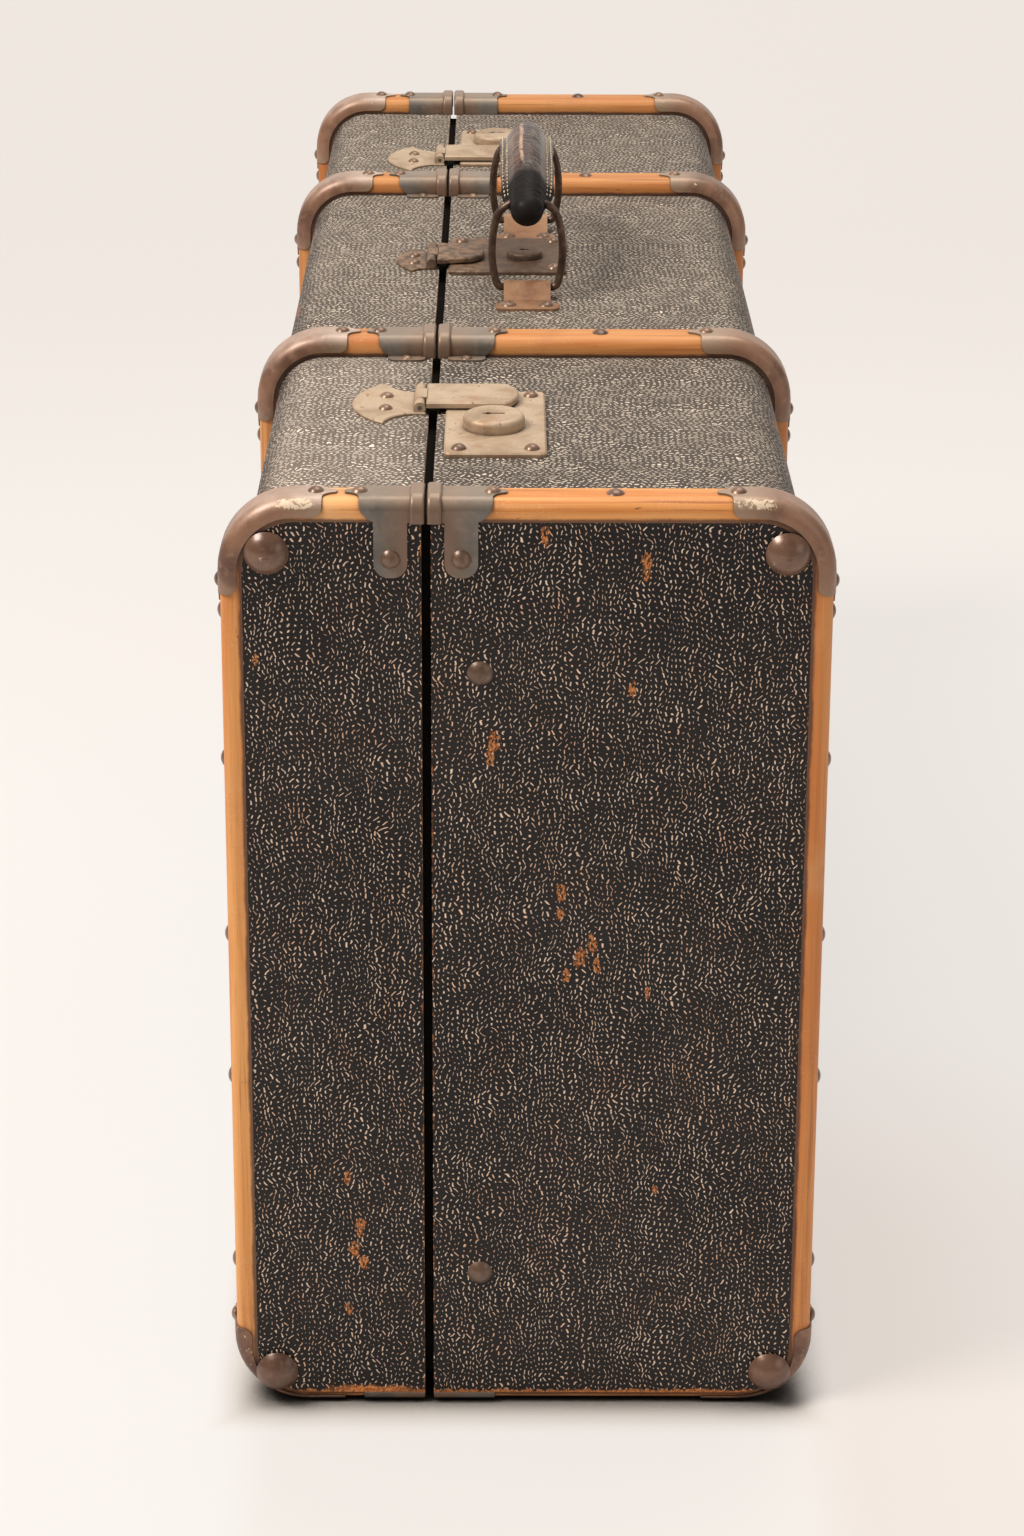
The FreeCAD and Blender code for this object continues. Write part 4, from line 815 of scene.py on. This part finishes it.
def leather_grip(material):
    """The round leather grip with its two stitched edges, as one closed form.

    Each ring round the middle line has a radius that is the core's, drawn out at the two sides into a
    thin lip: the core radius plus the lip's reach times a narrow peak of the sine of the angle. The
    lip's reach fades to nothing before the ends, which close as round noses. Shallow creases across
    the grip, a long fold left of its crest and a slow unevenness are added to the radius, and the
    lips hang a little towards their edges."""
    rows, columns, nose_rows = 280, 96, 18
    crease_count, crease_depth, crease_slant, crease_wander = 46, 0.00030, 0.5, 1.3
    slow_depth, fine_depth = 0.00028, 0.00016
    fold_height, fold_width, fold_turn, fold_sway = 0.0007, 0.10, 0.30, 0.10
    fold_end, fold_fade, fold_shift = 0.62, 0.3, 0.1
    lip_sharpness, lip_waver, lip_hang, thin_lip = 14, 0.06, 0.0024, 0.003
    points, along, above = grip_line(rows)
    share = np.linspace(-1, 1, rows)[:, None]
    angle = np.linspace(0, 2 * np.pi, columns, endpoint=False)[None, :]
    sideways, upwards = np.sin(angle), np.cos(angle)
    lip = lip_reach(share) * (1 + lip_waver * wave(share * 9, angle * 0 + np.sign(sideways), 3, 4))
    peak = np.abs(sideways) ** lip_sharpness
    crease_shift = crease_wander * wave(share * 5, angle, 5, 3) + crease_slant * np.cos(angle)
    creases = np.abs(np.sin(share * crease_count + crease_shift))
    uneven = slow_depth * wave(share * 7, angle, 11, 6) - crease_depth * (1 - creases) ** 6
    uneven = uneven + fine_depth * wave(share * 60, angle, 17, 6, 2.0)
    fold_place = np.arctan2(sideways, upwards) + fold_turn + fold_sway * np.sin(share * 7)
    fold_span = np.clip((fold_end - np.abs(share + fold_shift)) / fold_fade, 0, 1)
    uneven = uneven + fold_height * fold_span * np.exp(-(fold_place / fold_width) ** 2)
    across = (GRIP_BASE + uneven) * sideways + np.sign(sideways) * lip * peak
    up = (GRIP_BASE + uneven) * upwards
    past_core = np.clip((np.abs(across) - GRIP_BASE * 0.80) / (GRIP_BASE * 0.5), 0, 1)
    blend = past_core * np.clip(lip / thin_lip, 0, 1)
    up = up * (1 - blend) + np.sign(upwards) * np.minimum(np.abs(up), HALF_LEAF) * blend
    up = up - lip_hang * blend * np.abs(sideways) ** 4
    body = points[:, None, :] + across[..., None] * SIDE + up[..., None] * above[:, None, :]
    noses = []
    for end in (0, -1):
        outward = -along[end] if end == 0 else along[end]
        turn = np.linspace(0, 1, nose_rows)[1:-1] * np.pi / 2
        bulge, shrink = np.sin(turn), np.cos(turn)
        offset = (body[end] - points[end])[None] * shrink[:, None, None]
        nose = points[end] + offset + outward * (GRIP_BASE * bulge)[:, None, None]
        noses.append(nose if end else nose[::-1])
    rings = np.concatenate([noses[0], body, noses[1]])
    return mesh_piece("leather_grip", *tube(rings), material, "handle_grip", "leather")


def stitch_row(side, place_share, material, count=34):
    """A row of short thread stitches along one lip of the grip, at a share of the lip's reach.

    Each stitch is a small spindle: rings of points whose radius is a sine along its length and whose
    middle rises in a low arch over the leather."""
    rows, columns, half_steps = 7, 6, 400
    row_end, unevenness = 0.84, 0.003
    shortest, longest = 0.0026, 0.0034
    thread_radius, thin_end, arch_height = 0.00055, 0.02, 0.0005
    sunk, lip_fall = 0.0004, 0.0020
    droop = sunk + lip_fall * place_share
    points, along, above = grip_line(2 * half_steps + 1)
    places = np.linspace(-row_end, row_end, count) + rng.uniform(-unevenness, unevenness, count)
    row = np.linspace(0, 1, rows)
    angle = np.linspace(0, 2 * np.pi, columns, endpoint=False)
    all_points, all_faces = [], []
    start = 0
    for place in places:
        index = int(round((place + 1) * half_steps))
        reach = GRIP_BASE + lip_reach(place) * place_share
        length = rng.uniform(shortest, longest)
        seat = points[index] + SIDE * side * reach + above[index] * (HALF_LEAF - droop)
        arch = (np.sin(row * np.pi) * arch_height)[:, None] * above[index]
        line = seat + (row - 0.5)[:, None] * length * along[index] + arch
        radius = thread_radius * np.sqrt(np.clip(np.sin(row * np.pi), thin_end, 1))
        circle = np.cos(angle)[:, None] * SIDE + np.sin(angle)[:, None] * above[index]
        own, faces = tube(line[:, None, :] + radius[:, None, None] * circle[None], start)
        all_points.append(own)
        all_faces += faces
        start += len(own)
    name = "stitches_%s_%d" % ("base" if side > 0 else "lid", round(place_share * 100))
    return mesh_piece(name, np.vstack(all_points), all_faces, material, "handle_grip")


# The camera that took the photograph: degrees, metres and the lens for a sensor height in millimetres
PITCH, YAW, ROLL = (math.radians(angle) for angle in (16.068, 0.157, 0.194))
CAMERA_PLACE = (-0.0135, -2.1588, 1.1797)
SENSOR_HEIGHT = 36
LENS = 75.5
LENS_SHIFT = -0.3236
FAR_CLIP = 50


def photo_camera():
    """The photograph's camera: it looks slightly down at the near end from a little over two metres."""
    level = math.cos(PITCH)
    ahead = Vector((math.sin(YAW) * level, math.cos(YAW) * level, -math.sin(PITCH)))
    right = Vector((math.cos(YAW), -math.sin(YAW), 0))
    up = right.cross(ahead)
    turned_right = right * math.cos(ROLL) + up * math.sin(ROLL)
    turned_up = -right * math.sin(ROLL) + up * math.cos(ROLL)
    data = bpy.data.cameras.new("photo_camera")
    data.sensor_fit = "VERTICAL"
    data.sensor_height = SENSOR_HEIGHT
    data.lens = LENS
    data.shift_y = LENS_SHIFT
    data.clip_end = FAR_CLIP
    camera = linked("photo_camera", data)
    turn = Matrix((turned_right, turned_up, -ahead)).transposed().to_4x4()
    camera.matrix_world = Matrix.Translation(CAMERA_PLACE) @ turn
    bpy.context.scene.camera = camera


# Lamps: place, what they point at, size in metres, watts and colour
LAMPS = {
    "key": ((-1.7, -1.0, 2.7), (0, -0.1, 0.3), 1.2, 74, (255, 248, 240)),
    "top": ((0.3, 0.5, 3.0), (0, 0.1, 0.3), 1.8, 34, (255, 250, 244)),
    "fill": ((2.2, -1.9, 1.2), (0, -0.2, 0.3), 1.6, 7, (255, 250, 244)),
}
SKY_TONE, SKY_STRENGTH = (246, 242, 237), 0.28


def studio():
    """Soft light from above and the upper left, a weak one from the right, and a dim pale sky."""
    for name, (place, target, size, power, tone) in LAMPS.items():
        data = bpy.data.lights.new(name, "AREA")
        data.shape = "DISK"
        data.size = size
        data.energy = power
        data.color = linear(*tone)[:3]
        lamp = linked(name, data)
        lamp.location = place
        lamp.rotation_euler = (Vector(target) - Vector(place)).to_track_quat("-Z", "Y").to_euler()
    world = bpy.data.worlds.new("studio")
    world.use_nodes = True
    bpy.context.scene.world = world
    background = world.node_tree.nodes["Background"]
    background.inputs["Color"].default_value = linear(*SKY_TONE)
    background.inputs["Strength"].default_value = SKY_STRENGTH


def floor_finish():
    """Pale warm paper, which the camera, mirrors and glass see near its own colour by a painted glow, with
    the shadow.

    Away from the foot most of the light that leaves it is its painted glow, paler on the floor than up the
    wall;
    within a few centimetres it is only lit, and a painted contact shadow darkens it round the foot, less on
    the side of the key light. Beside the trunk its painted glow is stronger on the side of the key light and
    darker and warmer in a painted shadow on the other side."""
    lit_edge, lit_end, lit_depth = (-0.140, -0.178), (-0.50, -0.20), (0.8, 0.3)
    shadow_edge, shadow_end, shadow_depth = (0.15, 0.20), (0.50, 0.22), (0.0, -0.35)
    near_shade, near_reach, lit_loss = 0.93, (0.030, 0.45, 0.85), 0.55
    contact_shade, contact_reach = 0.96, (0.016, 0.30, 0.80)
    glow_start, glow_rise, glow_share, lit_glow = 0.002, (0.0, 0.030), 0.64, 0.16
    far_start, far_rise, far_glow = 0.010, (0.0, 0.6), 0.16
    shadow_tone_share, wall_turn = 0.38, (0.2, 1.8)
    f = Finish("floor")
    body = f.mix(f.field("floor_mottle").step(0.3, 0.7), linear(230, 223, 216), linear(234, 228, 222))
    x, y = f.split(f.object_point)[:2]
    lit_side = x.step(*lit_edge) * x.step(*lit_end) * y.step(*lit_depth)
    shadow_side = x.step(*shadow_edge) * x.step(*shadow_end) * y.step(*shadow_depth)
    # Painted contact shadow round the trunk's foot, less on the key light's side
    body = f.mix(f.painted_corner_shade(*near_reach) * (near_shade - lit_side * lit_loss), body, linear(38, 30, 26))
    body = f.mix(f.painted_corner_shade(*contact_reach) * contact_shade, body, linear(10, 7, 6))
    f.surface(body, 0.9, 0.0, f.bump(f.field("floor_grain"), 0.05, 0.0005))
    beyond = (abs(x) - case_side).most(abs(y) - case_high[1])
    beside = (beyond - glow_start).step(*glow_rise) * (lit_side * lit_glow + glow_share)
    open_floor = beside + (beyond - far_start).step(*far_rise) * far_glow
    tone = f.mix(y.step(*wall_turn), linear(255, 250, 246), linear(247, 240, 233))
    tone = f.mix(shadow_side * shadow_tone_share, tone, linear(232, 214, 200))
    glow = f.node("Emission", {}, {"Color": tone, "Strength": 1.0})
    camera, mirror, glass = (f.node("LightPath", {}, {}, "Is %s Ray" % kind)
                             for kind in ("Camera", "Glossy", "Transmission"))
    seen = camera.most(mirror).most(glass)
    both = f.node("MixShader", {}, {0: seen * open_floor, 1: Value(f, f.shader.outputs[0]), 2: glow})
    f.tree.links.new(both.socket, f.tree.nodes["Material Output"].inputs["Surface"])
    return f.material


def floor_and_wall():
    """One sheet of paper: a flat floor that turns up behind the trunk in a quarter circle to a wall."""
    front, reach, turn, wall_top, half_width = -4.0, 3.2, 1.0, 4.5, 5
    turn_rows, columns = 24, 12
    bend = reach - turn
    flat = np.array([[front, 0.0], [bend, 0.0]])
    angle = np.linspace(0, np.pi / 2, turn_rows)
    curve = np.stack([bend + turn * np.sin(angle), turn - turn * np.cos(angle)], -1)
    profile = np.vstack([flat, curve[1:], [[reach, wall_top]]])
    places = np.linspace(-half_width, half_width, columns)
    across, along = np.meshgrid(places, profile[:, 0])
    height = np.repeat(profile[:, 1:], columns, 1)
    points = np.stack([across, along, height], -1).reshape(-1, 3)
    faces = [face[::-1] for face in grid_faces(len(profile), columns, False)]
    made = linked("floor", sheet_mesh("floor", points, faces, floor_finish()))


bpy.context.scene.view_settings.view_transform = "Standard"
photo_camera()
studio()
floor_and_wall()
paint_nodes()
grip = leather_grip(leather_finish())
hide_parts("handle_grip")
thread = thread_finish()
INNER_ROW, OUTER_ROW = 0.32, 0.74
for lip_side in (1, -1):
    for row_share in (INNER_ROW, OUTER_ROW):
        stitch_row(lip_side, row_share, thread)
